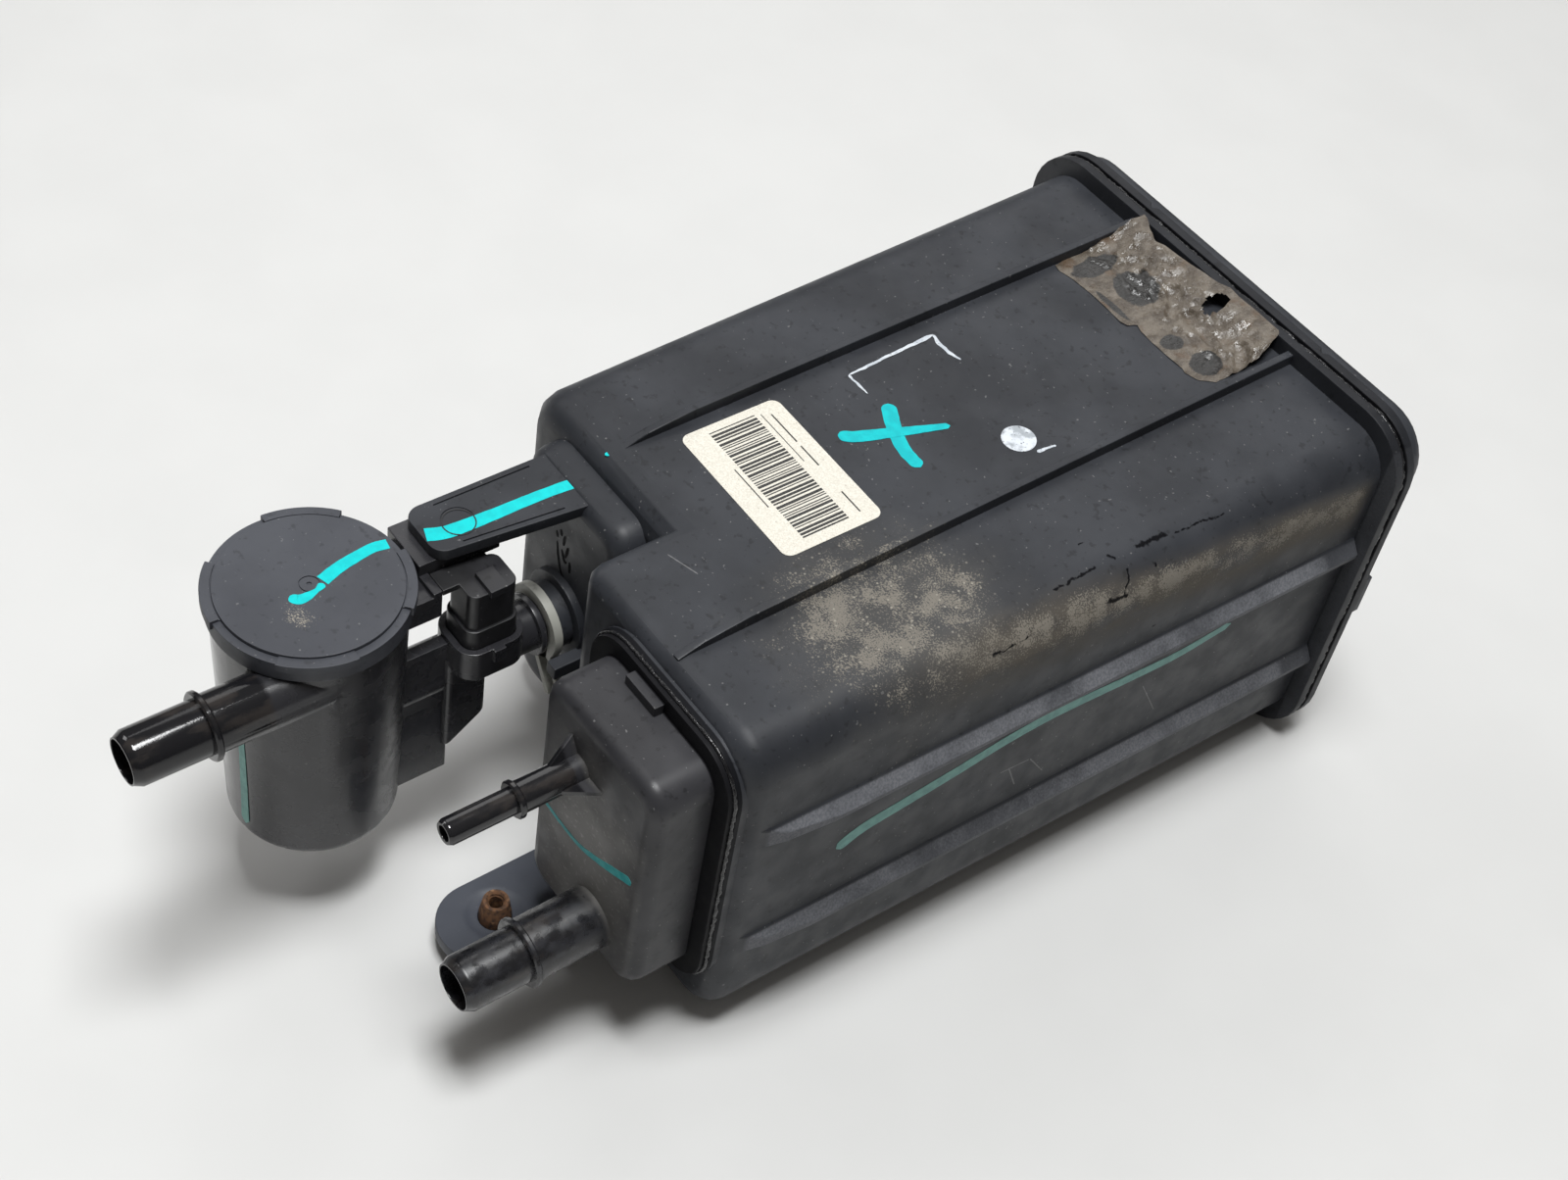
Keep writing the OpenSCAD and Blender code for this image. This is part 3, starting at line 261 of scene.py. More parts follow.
def grimy(finish, tone, level_x, level_z):
    """A brown film and grains under a crest that sinks to the rear; returns the tone and the film's mask."""
    y = finish.axis("Y")
    under = finish.maths("SUBTRACT", finish.maths("MULTIPLY_ADD", y, -0.075, 129.75 * MM), level_z)
    zone = finish.product(finish.step_mm(under, -5, 2), finish.step_mm(under, 24, 8),
                          finish.step_mm(level_x, 60, 67), finish.step_mm(y, -16, 24), finish.step_mm(y, 174, 166))
    streaks = finish.noise(9, 5, stretch=(1, 0.4, 1), shift=1.1)
    film = finish.product(zone, finish.step(streaks, 0.3, 0.6, 0.35, 0.95))
    upper = finish.product(zone, finish.step_mm(under, 14, 3, 0.45, 1))
    tone = finish.cover(tone, film, GRIME_FILM)
    return finish.cover(tone, dusted(finish, upper, 2.9, 0.72), GRIME_GRAINS, 0.75), film


def dusty(finish, tone):
    """Sandy dust on the shoulder, with larger dots in it; returns the tone and the dust's mask."""
    patch = finish.blob((50, -1, 126), (41, 49, 46), 0.72, 15)
    dust = dusted(finish, patch, amount=0.68)
    cells = finish.add("ShaderNodeTexVoronoi", {"Vector": finish.place, "Scale": 1 / (2.4 * MM)}).outputs[0]
    dots = finish.product(patch, finish.step(cells, 0.2, 0.1))
    tone = finish.cover(finish.cover(tone, patch, DUST_VEIL, 0.5), dust, DUST, 0.6)
    return finish.cover(tone, dots, DUST_DOTS, 0.6), dust


print("dust, grime and grey ready")

# %% [markdown]
# ## Painted shade in the joints, scuffs and scratches
#
# Black scuffs cross the right shoulder and pale scratches lie on the side. Painted shade darkens the welded
# joints' grooves and the flanges beside them. Scuffs could be cut as shapes, but they have no depth. So each is a
# line between two measured points, broken up by a noise.

# %% Body finish
FRONT_JOINT = (-66.9, -63.1)
# BLACK is the beads' own colour and also the painted shade in the joints' grooves.
BLACK, SCUFF_BLACK, SCRATCH_GREY = (0.005, 0.005, 0.006), (0.004, 0.004, 0.005), (0.26, 0.26, 0.26)
SCUFFS = [
    ((74.4, 20.5, 125.1), (74.5, 22.6, 125.1), 0.9), ((74.5, 22.6, 125.1), (74.5, 33.3, 125.6), 0.5),
    ((68.1, 46.9, 131.1), (67.4, 62.7, 131.7), 0.75), ((71.5, 72.2, 130.1), (74, 71.5, 127.9), 0.7),
    ((74, 71.5, 127.9), (75.7, 69.2, 125.3), 0.7), ((75.7, 63.1, 124.9), (76.1, 69.8, 124.5), 1.1),
    ((67.7, 78.9, 132.1), (68.2, 89.8, 132.2), 1.2), ((66.1, 68.7, 132.3), (67.7, 70.1, 131.8), 0.9),
    ((72.5, 81.9, 129.6), (74, 82.2, 128.3), 0.8), ((58.7, 63.8, 132.4), (58.4, 67.8, 132.5), 0.5),
    ((69.3, 93.2, 132), (70.6, 108, 132.1), 0.7), ((70.6, 108, 132.1), (71.5, 122, 132.2), 0.55),
    ((77.3, 85, 104), (77.5, 91, 103), 0.7)]
PALE_SCRATCHES = [
    ((76.9, 37.1, 63.9), (77.1, 48.1, 63.3), 0.35), ((77, 45.1, 53.3), (77, 40.3, 63.9), 0.35),
    ((77.1, 49, 63), (77.2, 56.5, 52.7), 0.3), ((77.9, 92, 72), (78.2, 102, 55), 0.25),
    ((62.2, -15.8, 130.9), (72.9, -17.6, 125.3), 0.18),
    ((72.9, -17.6, 125.3), (75.8, -19.4, 103), 0.18), ((2, -40, 130.4), (12, -37, 130.5), 0.3)]


def groove_shade(finish, low_mm, high_mm, soft_mm=0.4):
    """Painted shade: a dark band across the part, where a joint's groove keeps the light out."""
    y = finish.axis("Y")
    return finish.product(finish.step_mm(y, low_mm - soft_mm, low_mm),
                          finish.step_mm(y, high_mm + soft_mm, high_mm))


def darkened(finish, tone):
    """Painted shade in the joints and dark scuffs; returns the tone and a mask of where they take the sheen away.
    """
    # Painted shade in the joints' grooves, and weaker on the rear flanges beside them.
    front = finish.product(groove_shade(finish, *FRONT_JOINT), finish.step_mm(finish.axis("X"), -6, -3),
                           finish.step_mm(finish.axis("Z"), 17, 19))
    rim_shade = finish.product(groove_shade(finish, 174.4, 182.6), 0.62)
    groove_shades = finish.largest(front, groove_shade(finish, 177.5, 179.5), rim_shade)
    bent = finish.bent_place(3.5, 1.3)
    scuffs = finish.largest(*[finish.scratch(bent, *line) for line in SCUFFS])
    tone = finish.cover(finish.cover(tone, groove_shades, BLACK, 0.85), scuffs, SCUFF_BLACK, 0.95)
    return tone, finish.largest(scuffs, front, finish.product(groove_shades, 0.6))


def body_finish():
    finish, tone, shine = plastic("body_plastic", (0.022, 0.0238, 0.0285), (0.036, 0.0387, 0.0455), 0.48)
    drift = finish.product(finish.maths("SUBTRACT", finish.axis("Y"), FRONT_Y * MM), SLOPE)
    level_x, level_z = (finish.maths("SUBTRACT", finish.axis(letter), drift) for letter in "XZ")
    # Painted light on the fins and the tab, with painted shade by the rear flange.
    tone, fin_light = fin_and_tab_light(finish, tone, level_x)
    tone, film = grimy(finish, tone, level_x, level_z)
    tone, dust = dusty(finish, tone)
    tone, black = darkened(finish, tone)
    finish.put("Specular IOR Level", finish.step(black, 0, 1, 0.32, 0.05))
    pale = finish.largest(*[finish.scratch(finish.place, *line) for line in PALE_SCRATCHES])
    tone = finish.cover(tone, pale, SCRATCH_GREY, 0.45)
    return finished(finish, tone, finish.between(finish.largest(dust, film, fin_light), shine, 0.85))


body_plastic = body_finish()

# %% [markdown]
# ## The other plastics
#
# The nozzle cover has the same plastic, but its nozzles are polished by the connectors that slide on them. The
# valve's housing is smoother than the box, and its lid more matt, with a dusty spot. One finish per node keeps a
# glossy nozzle and a satin cover together by blending the roughness along Y.

# %% Cover, valve, lid and connector finishes
COVER_NOZZLES_Y = -89
VENT_NOZZLE_Y = -150
# HAZE_AND_LIGHT is partly a pale film on the cover's front face and partly painted light that brightens that face.
HAZE_AND_LIGHT, HAZE_FLECKS, SMUDGE = (0.185, 0.18, 0.17), (0.30, 0.295, 0.28), (0.16, 0.155, 0.145)
NOZZLE_BLACK, NOZZLE_BROWN, RUBBED_GREY = (0.009, 0.009, 0.0105), (0.045, 0.038, 0.034), (0.028, 0.029, 0.034)


def nozzle_gloss(finish, tone, shine, from_y):
    """Polish the plastic in front of a plane, with wiped brown streaks."""
    polished = finish.step_mm(finish.axis("Y"), from_y, from_y - 2)
    wiped = finish.step(finish.noise(5, 4, stretch=(1, 0.35, 1)), 0.5, 0.66, 0, 0.5)
    stained = finish.mix(wiped, (*NOZZLE_BLACK, 1), (*NOZZLE_BROWN, 1))
    sleek = finish.step(finish.noise(6, 4, stretch=(1, 0.3, 1), shift=2.2), 0.35, 0.65, 0.08, 0.19)
    return finish.mix(polished, tone, stained), finish.between(polished, shine, sleek)


def cover_finish():
    finish, tone, shine = plastic("cover_plastic", (0.022, 0.022, 0.025), (0.035, 0.035, 0.039), 0.46)
    y, z = finish.axis("Y"), finish.axis("Z")
    # Painted shade in the front joint's groove.
    joint = groove_shade(finish, *FRONT_JOINT)
    sheen = finish.step_mm(y, COVER_NOZZLES_Y, COVER_NOZZLES_Y - 2, 0.36, 0.7)
    finish.put("Specular IOR Level", finish.product(sheen, finish.step(joint, 0, 1, 1, 0.2)))
    # A pale haze over the front face: partly a real film, partly painted light.
    haze_and_light = finish.blob((38, -86.3, 66), (36, 2.4, 54), 0.85, 14)
    flecks = finish.product(haze_and_light, finish.step(finish.noise(1.5, 5, shift=8), 0.56, 0.7))
    smudges = finish.product(finish.blob((44, -88, 52), (14, 8, 12), 0.9, 4), finish.noise(2.2, 5))
    for layer in ((haze_and_light, HAZE_AND_LIGHT, 0.8), (flecks, HAZE_FLECKS, 0.6), (smudges, SMUDGE, 0.6), (joint, BLACK, 0.8)):
        tone = finish.cover(tone, *layer)
    tone, shine = nozzle_gloss(finish, tone, shine, COVER_NOZZLES_Y)
    rubbed = finish.product(finish.step_mm(y, COVER_NOZZLES_Y + 2, COVER_NOZZLES_Y), finish.step_mm(z, 74, 70))
    scraped = finish.step(finish.noise(3, 5, stretch=(1, 0.5, 1), shift=9), 0.42, 0.66, 0.05, 0.75)
    tone = finish.cover(tone, finish.product(rubbed, scraped), RUBBED_GREY)
    dull = finish.step(finish.noise(4, 4, shift=5), 0.35, 0.65, 0.17, 0.40)
    return finished(finish, tone, finish.between(rubbed, shine, dull))


def valve_finish():
    finish, tone, shine = plastic("valve_plastic", (0.022, 0.022, 0.025), (0.032, 0.032, 0.036), 0.27, 0.5, 0.5)
    return finished(finish, *nozzle_gloss(finish, tone, shine, VENT_NOZZLE_Y))


def lid_finish():
    finish, tone, shine = plastic("lid_plastic", (0.038, 0.041, 0.051), (0.054, 0.058, 0.070), 0.56)
    spot = finish.blob((-35.5, -134, 121.5), (8, 7, 4), 0.8, 4)
    return finished(finish, finish.cover(tone, dusted(finish, spot), DUST), shine)


finishes = {"body_plastic": body_plastic, "cover_plastic": cover_finish(), "valve_plastic": valve_finish(),
            "lid_plastic": lid_finish()}
for row in (("connector_plastic", (0.010, 0.010, 0.011), (0.021, 0.021, 0.024), 0.38),
            ("clip_plastic", (0.31, 0.31, 0.275), (0.39, 0.39, 0.355), 0.5, 0.5, 0.6)):
    finishes[row[0]] = finished(*plastic(*row))

# %% [markdown]
# ## Rust, metals and the hidden filling
#
# The threaded insert is plain steel and has rusted. The pieces inside aren't seen, but someone may open the
# model, so felt, carbon, springs, copper and brass each get a simple finish of their own.


# %% Metal and filling finishes
def simple(name, dark, light, roughness, size_mm, metallic=0.0, bump_mm=0.02):
    """A two-tone finish with matching grain, for the hidden pieces."""
    finish = Finish(name, roughness, metallic)
    grain = finish.noise(size_mm, 4)
    tone = finish.clouds(grain, 0.3, 0.7, dark, light)
    finish.put("Normal", finish.bump(grain, bump_mm))
    shine = finish.step(finish.noise(size_mm * 3, 3), 0.3, 0.7, max(roughness - 0.08, 0.05), roughness + 0.08)
    return finished(finish, tone, shine)


def rust_finish():
    finish = Finish("rusty_steel", 0.85)
    scale = finish.noise(1.6, 6)
    tone = finish.clouds(scale, 0.3, 0.62, (0.05, 0.027, 0.016), (0.20, 0.098, 0.048))
    worn = finish.step(finish.noise(2.4, 4, shift=4.4), 0.58, 0.7)
    tone = finish.cover(tone, worn, (0.36, 0.2, 0.1), 0.7)
    finish.put("Normal", finish.bump(scale, 0.14))
    return finished(finish, tone, finish.step(scale, 0.3, 0.7, 0.7, 0.95))


finishes["rusty_steel"] = rust_finish()
HIDDEN_FINISHES = [
    ("felt", (0.32, 0.31, 0.28), (0.55, 0.54, 0.5), 0.95, 0.8, 0, 0.3),
    ("carbon", (0.006, 0.006, 0.006), (0.03, 0.03, 0.03), 0.8, 2.2, 0, 0.8),
    ("inner_plastic", (0.02, 0.02, 0.022), (0.045, 0.045, 0.048), 0.5, 0.6),
    ("spring_steel", (0.4, 0.4, 0.41), (0.6, 0.6, 0.61), 0.32, 0.8, 1.0),
    ("seal_rubber", (0.012, 0.012, 0.012), (0.024, 0.024, 0.024), 0.7, 0.5),
    ("coil_steel", (0.42, 0.42, 0.44), (0.56, 0.56, 0.58), 0.36, 1.5, 1.0),
    ("bobbin_plastic", (0.5, 0.48, 0.4), (0.62, 0.6, 0.52), 0.5, 0.6),
    ("copper", (0.5, 0.2, 0.09), (0.72, 0.34, 0.17), 0.34, 0.5, 1.0),
    ("sleeve_brass", (0.6, 0.42, 0.15), (0.75, 0.55, 0.24), 0.3, 0.9, 1.0)]
for row in HIDDEN_FINISHES:
    finishes[row[0]] = simple(*row)

# %% [markdown]
# ## Finishes on the CAD nodes
#
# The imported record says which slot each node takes. Dressing the nodes one by one would be long, so a finish per
# slot name lets one loop dress them all.

# %% Dress the CAD nodes
slot_of = {row["node"]: row["material_slot"] for row in frame["record"]["subparts"]}
for name, node in frame["nodes"].items():
    node.data.materials.clear()
    node.data.materials.append(finishes[slot_of[name]].material)
print("dressed", len(frame["nodes"]), "CAD nodes")

# %% [markdown]
# ## From a bmesh to a piece
#
# Every new piece is drawn as a bmesh and shown as an object at the origin. Plain smooth shading would smear light
# over sharp corners, so each corner's normal comes from the faces round it that turn little.

# %% Showing a piece
MERGE = 0.002 * MM


def link(obj):
    bpy.context.scene.collection.objects.link(obj)


def merged(mesh):
    """A bmesh of a mesh, in which vertices that lie together are one."""
    bm = bmesh.new()
    bm.from_mesh(mesh)
    bmesh.ops.remove_doubles(bm, verts=bm.verts, dist=MERGE)
    return bm


def even_normals(mesh, turn):
    """Shade each corner by the faces round it that turn less than the limit; large faces count most."""
    around = [[] for _ in mesh.vertices]
    for face in mesh.polygons:
        for vert in face.vertices:
            around[vert].append(face)
    limit = math.cos(math.radians(turn))
    mesh.normals_split_custom_set([
        sum((other.normal * other.area for other in around[vert] if other.normal.dot(face.normal) > limit),
            Vector()).normalized() for face in mesh.polygons for vert in face.vertices])


def show_piece(name, bm, finish, body="canister", turn=35):
    """Turn a bmesh into an object at the origin that rides on a body."""
    mesh = bpy.data.meshes.new(name)
    bm.to_mesh(mesh)
    bm.free()
    mesh.materials.clear()
    mesh.materials.append(finish.material)
    mesh.shade_smooth()
    even_normals(mesh, turn)
    obj = bpy.data.objects.new(name, mesh)
    link(obj)
    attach(obj, body)
    print(name, len(mesh.polygons), "faces")
    return obj


print("show_piece ready")

# %% [markdown]
# ## Rounded edges on the outside
#
# A mould leaves no knife edges: each corner has a small radius that catches a line of light. A Bevel modifier
# would round every edge alike and fail where features are tiny. So a copy of the node is merged, its flat faces
# are joined, and only convex edges with room beside them are bevelled. The copy then stands for the node.

# %% Skins of the outer nodes
CRISP_TURN = math.radians(38)
FLAT_TURN = math.radians(0.4)
ROOM = 2.4
EDGE_RADII = {"canister_body": 0.5, "rear_cover": 0.5, "nozzle_cover": 0.35, "valve_housing": 0.4,
              "valve_lid": 0.25, "connector_plug": 0.4, "port_retainer": 0.3, "tab_insert": 0.3}


def reach(face, edge):
    """How far a face stretches away from one of its edges."""
    a = edge.verts[0].co
    along = (edge.verts[1].co - a).normalized()
    return max(((v.co - a) - (v.co - a).dot(along) * along).length for v in face.verts)


def roomy(edge, radius):
    """True for a convex edge with enough face on both sides for the radius."""
    if len(edge.link_faces) != 2 or edge.calc_length() < 1e-7 or edge.calc_face_angle_signed(0.0) < CRISP_TURN:
        return False
    return all(reach(face, edge) > ROOM * radius for face in edge.link_faces)


def skin(node, radius_mm):
    bm = merged(frame["nodes"][node].data)
    bmesh.ops.dissolve_limit(bm, angle_limit=FLAT_TURN, use_dissolve_boundaries=False,
                             verts=bm.verts[:], edges=bm.edges[:], delimit=set())
    bmesh.ops.dissolve_verts(bm, verts=[vert for vert in bm.verts if len(vert.link_edges) == 2])
    bm.normal_update()
    edges = [edge for edge in bm.edges if roomy(edge, radius_mm * MM)]
    bmesh.ops.bevel(bm, geom=edges, offset=radius_mm * MM, offset_type="OFFSET", segments=2, profile=0.5,
                    affect="EDGES", clamp_overlap=False, material=-1)
    obj = show_piece(node + "_skin", bm, finishes[slot_of[node]])
    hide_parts(node)


for node, radius_mm in EDGE_RADII.items():
    skin(node, radius_mm)

# %% [markdown]
# ## Weld beads
#
# The covers are welded on with a hot plate, which presses melted plastic out into the grooves: a wavy, shiny
# rope. A torus would be far too even, so a poly curve follows the joint, a noise moves its points and its
# thickness, and the curve becomes a mesh.

# %% Bead finish and beads
REAR_WALL = ((-79.6, 79.6), (6, 134.6), 14)
FRONT_WALL = ((12, 66), (28.5, 118.5), 9)


def flecked(name, roughness, dark, light, clouds, fleck, flecks, grain):
    """Two cloudy tones with flecks of a third; the tuples say which noises make them."""
    finish = Finish(name, roughness)
    size, low, high = clouds
    tone = finish.clouds(finish.noise(size, 4), low, high, dark, light)
    size, shift, low, high, strength = flecks
    spots = finish.step(finish.noise(size, 3, shift=shift), low, high)
    finish.put("Base Color", finish.cover(tone, spots, fleck, strength))
    size, depth = grain
    finish.put("Normal", finish.bump(finish.noise(size, 3), depth))
    return finish


# The bead's pale flecks are painted glints on its shiny plastic.
bead_gloss = flecked("bead_gloss", 0.22, BLACK, (0.016, 0.016, 0.018), (3, 0.35, 0.7), (0.30, 0.29, 0.27),
                     (1.1, 4, 0.69, 0.75, 0.55), (0.9, 0.25))
bead_gloss.put("Roughness", bead_gloss.step(bead_gloss.noise(2, 4), 0.3, 0.7, 0.10, 0.32))


def joint_outline(x, z, corner, out, spacing=1.0):
    """Points in X and Z round a wall with rounded corners, a little outside it, in millimetres."""
    left, right, low, high = x[0] + corner, x[1] - corner, z[0] + corner, z[1] - corner
    radius = corner + out
    steps = max(4, int(radius * math.pi / 2 / spacing))
    points = []
    for count, (cx, cz) in enumerate([(right, high), (left, high), (left, low), (right, low)]):
        for i in range(steps + 1):
            turn = math.radians(90 * (count + i / steps))
            points.append((cx + radius * math.cos(turn), cz + radius * math.sin(turn)))
    filled = []
    for a, b in zip(points, points[1:] + points[:1]):
        pieces = max(1, round(math.dist(a, b) / spacing))
        filled += [(a[0] + (b[0] - a[0]) * i / pieces, a[1] + (b[1] - a[1]) * i / pieces) for i in range(pieces)]
    return filled


def weld_bead(name, outline, y, thick, wander):
    curve = bpy.data.curves.new(name, "CURVE")
    curve.dimensions = "3D"
    curve.bevel_depth = thick * MM
    curve.bevel_resolution = 1
    rope = curve.splines.new("POLY")
    rope.points.add(len(outline) - 1)
    rope.use_cyclic_u = True
    for point, (x, z) in zip(rope.points, outline):
        sway = noise.noise_vector(Vector((x, y, z)) * 0.45)
        fine = noise.noise(Vector((x, y + 40, z)) * 1.1)
        point.co = ((x + wander * sway.x) * MM, (y + wander * 0.6 * sway.y) * MM, (z + wander * sway.z) * MM, 1)
        point.radius = 0.9 + 0.35 * fine
    maker = bpy.data.objects.new(name + "_maker", curve)
    link(maker)
    bpy.context.view_layer.update()
    mesh = bpy.data.meshes.new_from_object(maker.evaluated_get(bpy.context.evaluated_depsgraph_get()))
    bpy.data.objects.remove(maker)
    bm = merged(mesh)
    bmesh.ops.recalc_face_normals(bm, faces=bm.faces)
    show_piece(name, bm, bead_gloss, turn=80)


# Without a seed, noise_vector takes its offsets from the clock, so this seed keeps the beads the same on every
# run. With this one both beads stay inside the CAD box.
BEAD_SEED = 16
noise.seed_set(BEAD_SEED)
weld_bead("rear_weld_bead", joint_outline(*REAR_WALL, out=4.75), y=178.3, thick=0.95, wander=0.45)
weld_bead("front_weld_bead", joint_outline(*FRONT_WALL, out=6.2), y=-64.6, thick=0.75, wander=0.3)

# %% [markdown]
# ## Places for marks
#
# Marks lie on the top, the right side, the lid, the arm, the nozzle cover, the valve's round housing and the
# boss. A drawing could be projected on to the mesh. A small function per face is simpler: it turns two measured
# numbers into a point on that face, in metres.

# %% Faces that carry marks
TOP_UP = Vector((0, -SLOPE, 1)).normalized()
SIDE_OUT = Vector((1, -SLOPE, 0)).normalized()
TOP_Z, SIDE_X = 130, 75
LID_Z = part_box("valve_lid")[1].z / MM
ARM_Z = LID_Z + 1
FACE_Y, BOSS_Y = -86.3, -46.3
VALVE = Vector((-44, -126.3, 0))
HOUSING_Z, HOUSING_R, HOUSING_TAPER = 30, 25.2, 2.4 / 88


def on_top(x, y):
    return Vector((x, y, TOP_Z + SLOPE * (y - FRONT_Y))) * MM


def on_side(y, z):
    return Vector((SIDE_X + SLOPE * (y - FRONT_Y), y, z)) * MM


def on_lid(x, y):
    return Vector((x, y, LID_Z)) * MM


def on_arm(x, y):
    return Vector((x, y, ARM_Z)) * MM


def on_face(x, z):
    return Vector((x, FACE_Y, z)) * MM


def on_boss(x, z):
    return Vector((x, BOSS_Y, z)) * MM


def on_housing(turn, z):
    radius = HOUSING_R + HOUSING_TAPER * (z - HOUSING_Z)
    away = Vector((math.cos(math.radians(turn)), math.sin(math.radians(turn)), 0))
    return (VALVE + away * radius + Vector((0, 0, z))) * MM


def up(_point):
    return Vector((0, 0, 1))


def forward(_point):
    return Vector((0, -1, 0))


def from_valve(point):
    away = point - VALVE * MM
    return Vector((away.x, away.y, 0)).normalized()


print("lid at", round(LID_Z, 2), "mm")

# %% [markdown]
# ## Brush strokes
#
# Someone marked the canister with a paint pen. A stroke is a band along a curve, with round ends and edges that
# waver. A row of vertices is laid along the curve and extruded sideways, and the band is extruded once more for
# the paint's thickness.

# %% Stroke maker
SUNK_MM = 0.02


def smooth_path(points, steps=10):
    """A Catmull-Rom curve through the points."""
    ends = [2 * points[0] - points[1]] + points + [2 * points[-1] - points[-2]]
    path = []
    for a, b, c, d in zip(ends, ends[1:], ends[2:], ends[3:]):
        for i in range(steps):
            t = i / steps
            path.append(0.5 * (2 * b + (c - a) * t + (2 * a - 5 * b + 4 * c - d) * t * t
                               + (3 * b - a - 3 * c + d) * t ** 3))
    return path + [points[-1]]


def verts_of(geom):
    return [g for g in geom if isinstance(g, bmesh.types.BMVert)]


def stroke(name, points, widths_mm, normal, finish, thick_mm=0.08, waver_mm=0.12, blunt=(True, True)):
    path = smooth_path(points)
    lengths = [0.0]
    for a, b in zip(path, path[1:]):
        lengths.append(lengths[-1] + (b - a).length)
    total = lengths[-1]
    bm = bmesh.new()
    row, across = [], []
    for i, (point, gone) in enumerate(zip(path, lengths)):
        tangent = (path[min(i + 1, len(path) - 1)] - path[max(i - 1, 0)]).normalized()
        side = normal(point).cross(tangent).normalized()
        share = gone / total * (len(widths_mm) - 1)
        first = min(int(share), len(widths_mm) - 2)
        half = MM / 2 * (widths_mm[first] + (widths_mm[first + 1] - widths_mm[first]) * (share - first))
        for from_end, is_blunt in ((gone, blunt[0]), (total - gone, blunt[1])):
            if is_blunt and from_end < half:
                half *= max(math.sqrt(max(1 - (1 - from_end / half) ** 2, 0)), 0.12)
        jitter = [waver_mm * MM * noise.noise(point / MM * 0.5 + Vector((k, 0, 0))) for k in (0, 50)]
        row.append(bm.verts.new(point - normal(point) * SUNK_MM * MM + side * (half + jitter[0])))
        across.append(-side * (2 * half + jitter[0] + jitter[1]))
    edges = [bm.edges.new(pair) for pair in zip(row, row[1:])]
    fresh = set(verts_of(bmesh.ops.extrude_edge_only(bm, edges=edges)["geom"]))
    for vert, shift in zip(row, across):
        partner = next(e.other_vert(vert) for e in vert.link_edges if e.other_vert(vert) in fresh)
        partner.co += shift
    for vert in verts_of(bmesh.ops.extrude_face_region(bm, geom=bm.faces[:])["geom"]):
        vert.co += normal(vert.co) * (thick_mm + SUNK_MM) * MM
    bmesh.ops.recalc_face_normals(bm, faces=bm.faces)
    show_piece(name, bm, finish, turn=50)


print("stroke maker ready")

# %% [markdown]
# ## Paint and print
#
# Fresh paint is a bright blue-green with a slight gloss. On the sides it went on thin and has greyed. The white
# print on the top has worn away in places, so its finish fades to the black below it.

# %% Paint finishes and strokes
WORN_BLACK = (0.04, 0.045, 0.05)


def paint_finish(name, fresh, thin, worn_share, roughness=0.42):
    finish = Finish(name, roughness, specular=0.25)
    tone = finish.clouds(finish.noise(3.2, 4), 0.35, 0.65, fresh, thin)
    gone = finish.step(finish.noise(0.7, 3, shift=2.5), 0.66 - worn_share, 0.76 - worn_share)
    tone = finish.cover(tone, gone, WORN_BLACK, min(1.0, 0.3 + worn_share * 2))
    finish.put("Normal", finish.bump(finish.noise(1.1, 3), 0.05))
    return finished(finish, tone, roughness)


bright_paint = paint_finish("bright_paint", (0.0, 0.50, 0.53), (0.0, 0.42, 0.46), 0.0)
lid_paint = paint_finish("lid_paint", (0.0, 0.60, 0.61), (0.0, 0.52, 0.54), 0.0)
faded_paint = paint_finish("faded_paint", (0.16, 0.37, 0.33), (0.12, 0.29, 0.265), 0.03)
deep_paint = paint_finish("deep_paint", (0.02, 0.29, 0.30), (0.05, 0.36, 0.36), 0.03)
white_print = paint_finish("white_print", (0.62, 0.66, 0.70), (0.48, 0.52, 0.57), 0.08, 0.55)

TOP_STROKES = {
    "cross_first": (
        [(-14.6, 51.6), (-10.7, 49.4), (-4.6, 46.3), (3.3, 43.7), (11.2, 43.5)],
        [4.8, 4.9, 4.6, 4.4, 4.2], bright_paint),
    "cross_second": (
        [(-11.5, 30.2), (-8.4, 34.5), (-4.7, 43.9), (-1.1, 53.4), (2.1, 62.1)],
        [4.4, 4.6, 3.8, 3.0, 2.2], bright_paint),
    "print_edge": ([(-30.3, 48.7), (-31, 64), (-31.8, 82.9)], [0.7, 1.1, 1.5], white_print),
    "print_near": ([(-21.0, 48.9), (-25.5, 48.8), (-30.3, 48.7)], [0.6, 0.8, 0.8], white_print),
    "print_far": ([(-31.8, 82.9), (-27, 82.0), (-23.6, 82.2), (-18.5, 83.3)], [0.9, 1.4, 1.3, 0.8], white_print),
    "print_tick": ([(24.6, 84.9), (24.2, 82.2), (23.9, 78.1)], [1.0, 0.9, 1.1], white_print),
}
for name, (points, widths, finish) in TOP_STROKES.items():
    stroke(name, [on_top(*p) for p in points], widths, lambda p: TOP_UP, finish,
           thick_mm=0.14 if name == "cross_second" else 0.08, waver_mm=0.35 if finish is white_print else 0.15)

# %% [markdown]
# ## Strokes on the other faces
#
# The same pen went over other faces. Each stroke names its face, the way that face looks, and its widths from
# end to end. Where one runs off an edge, its end isn't round.

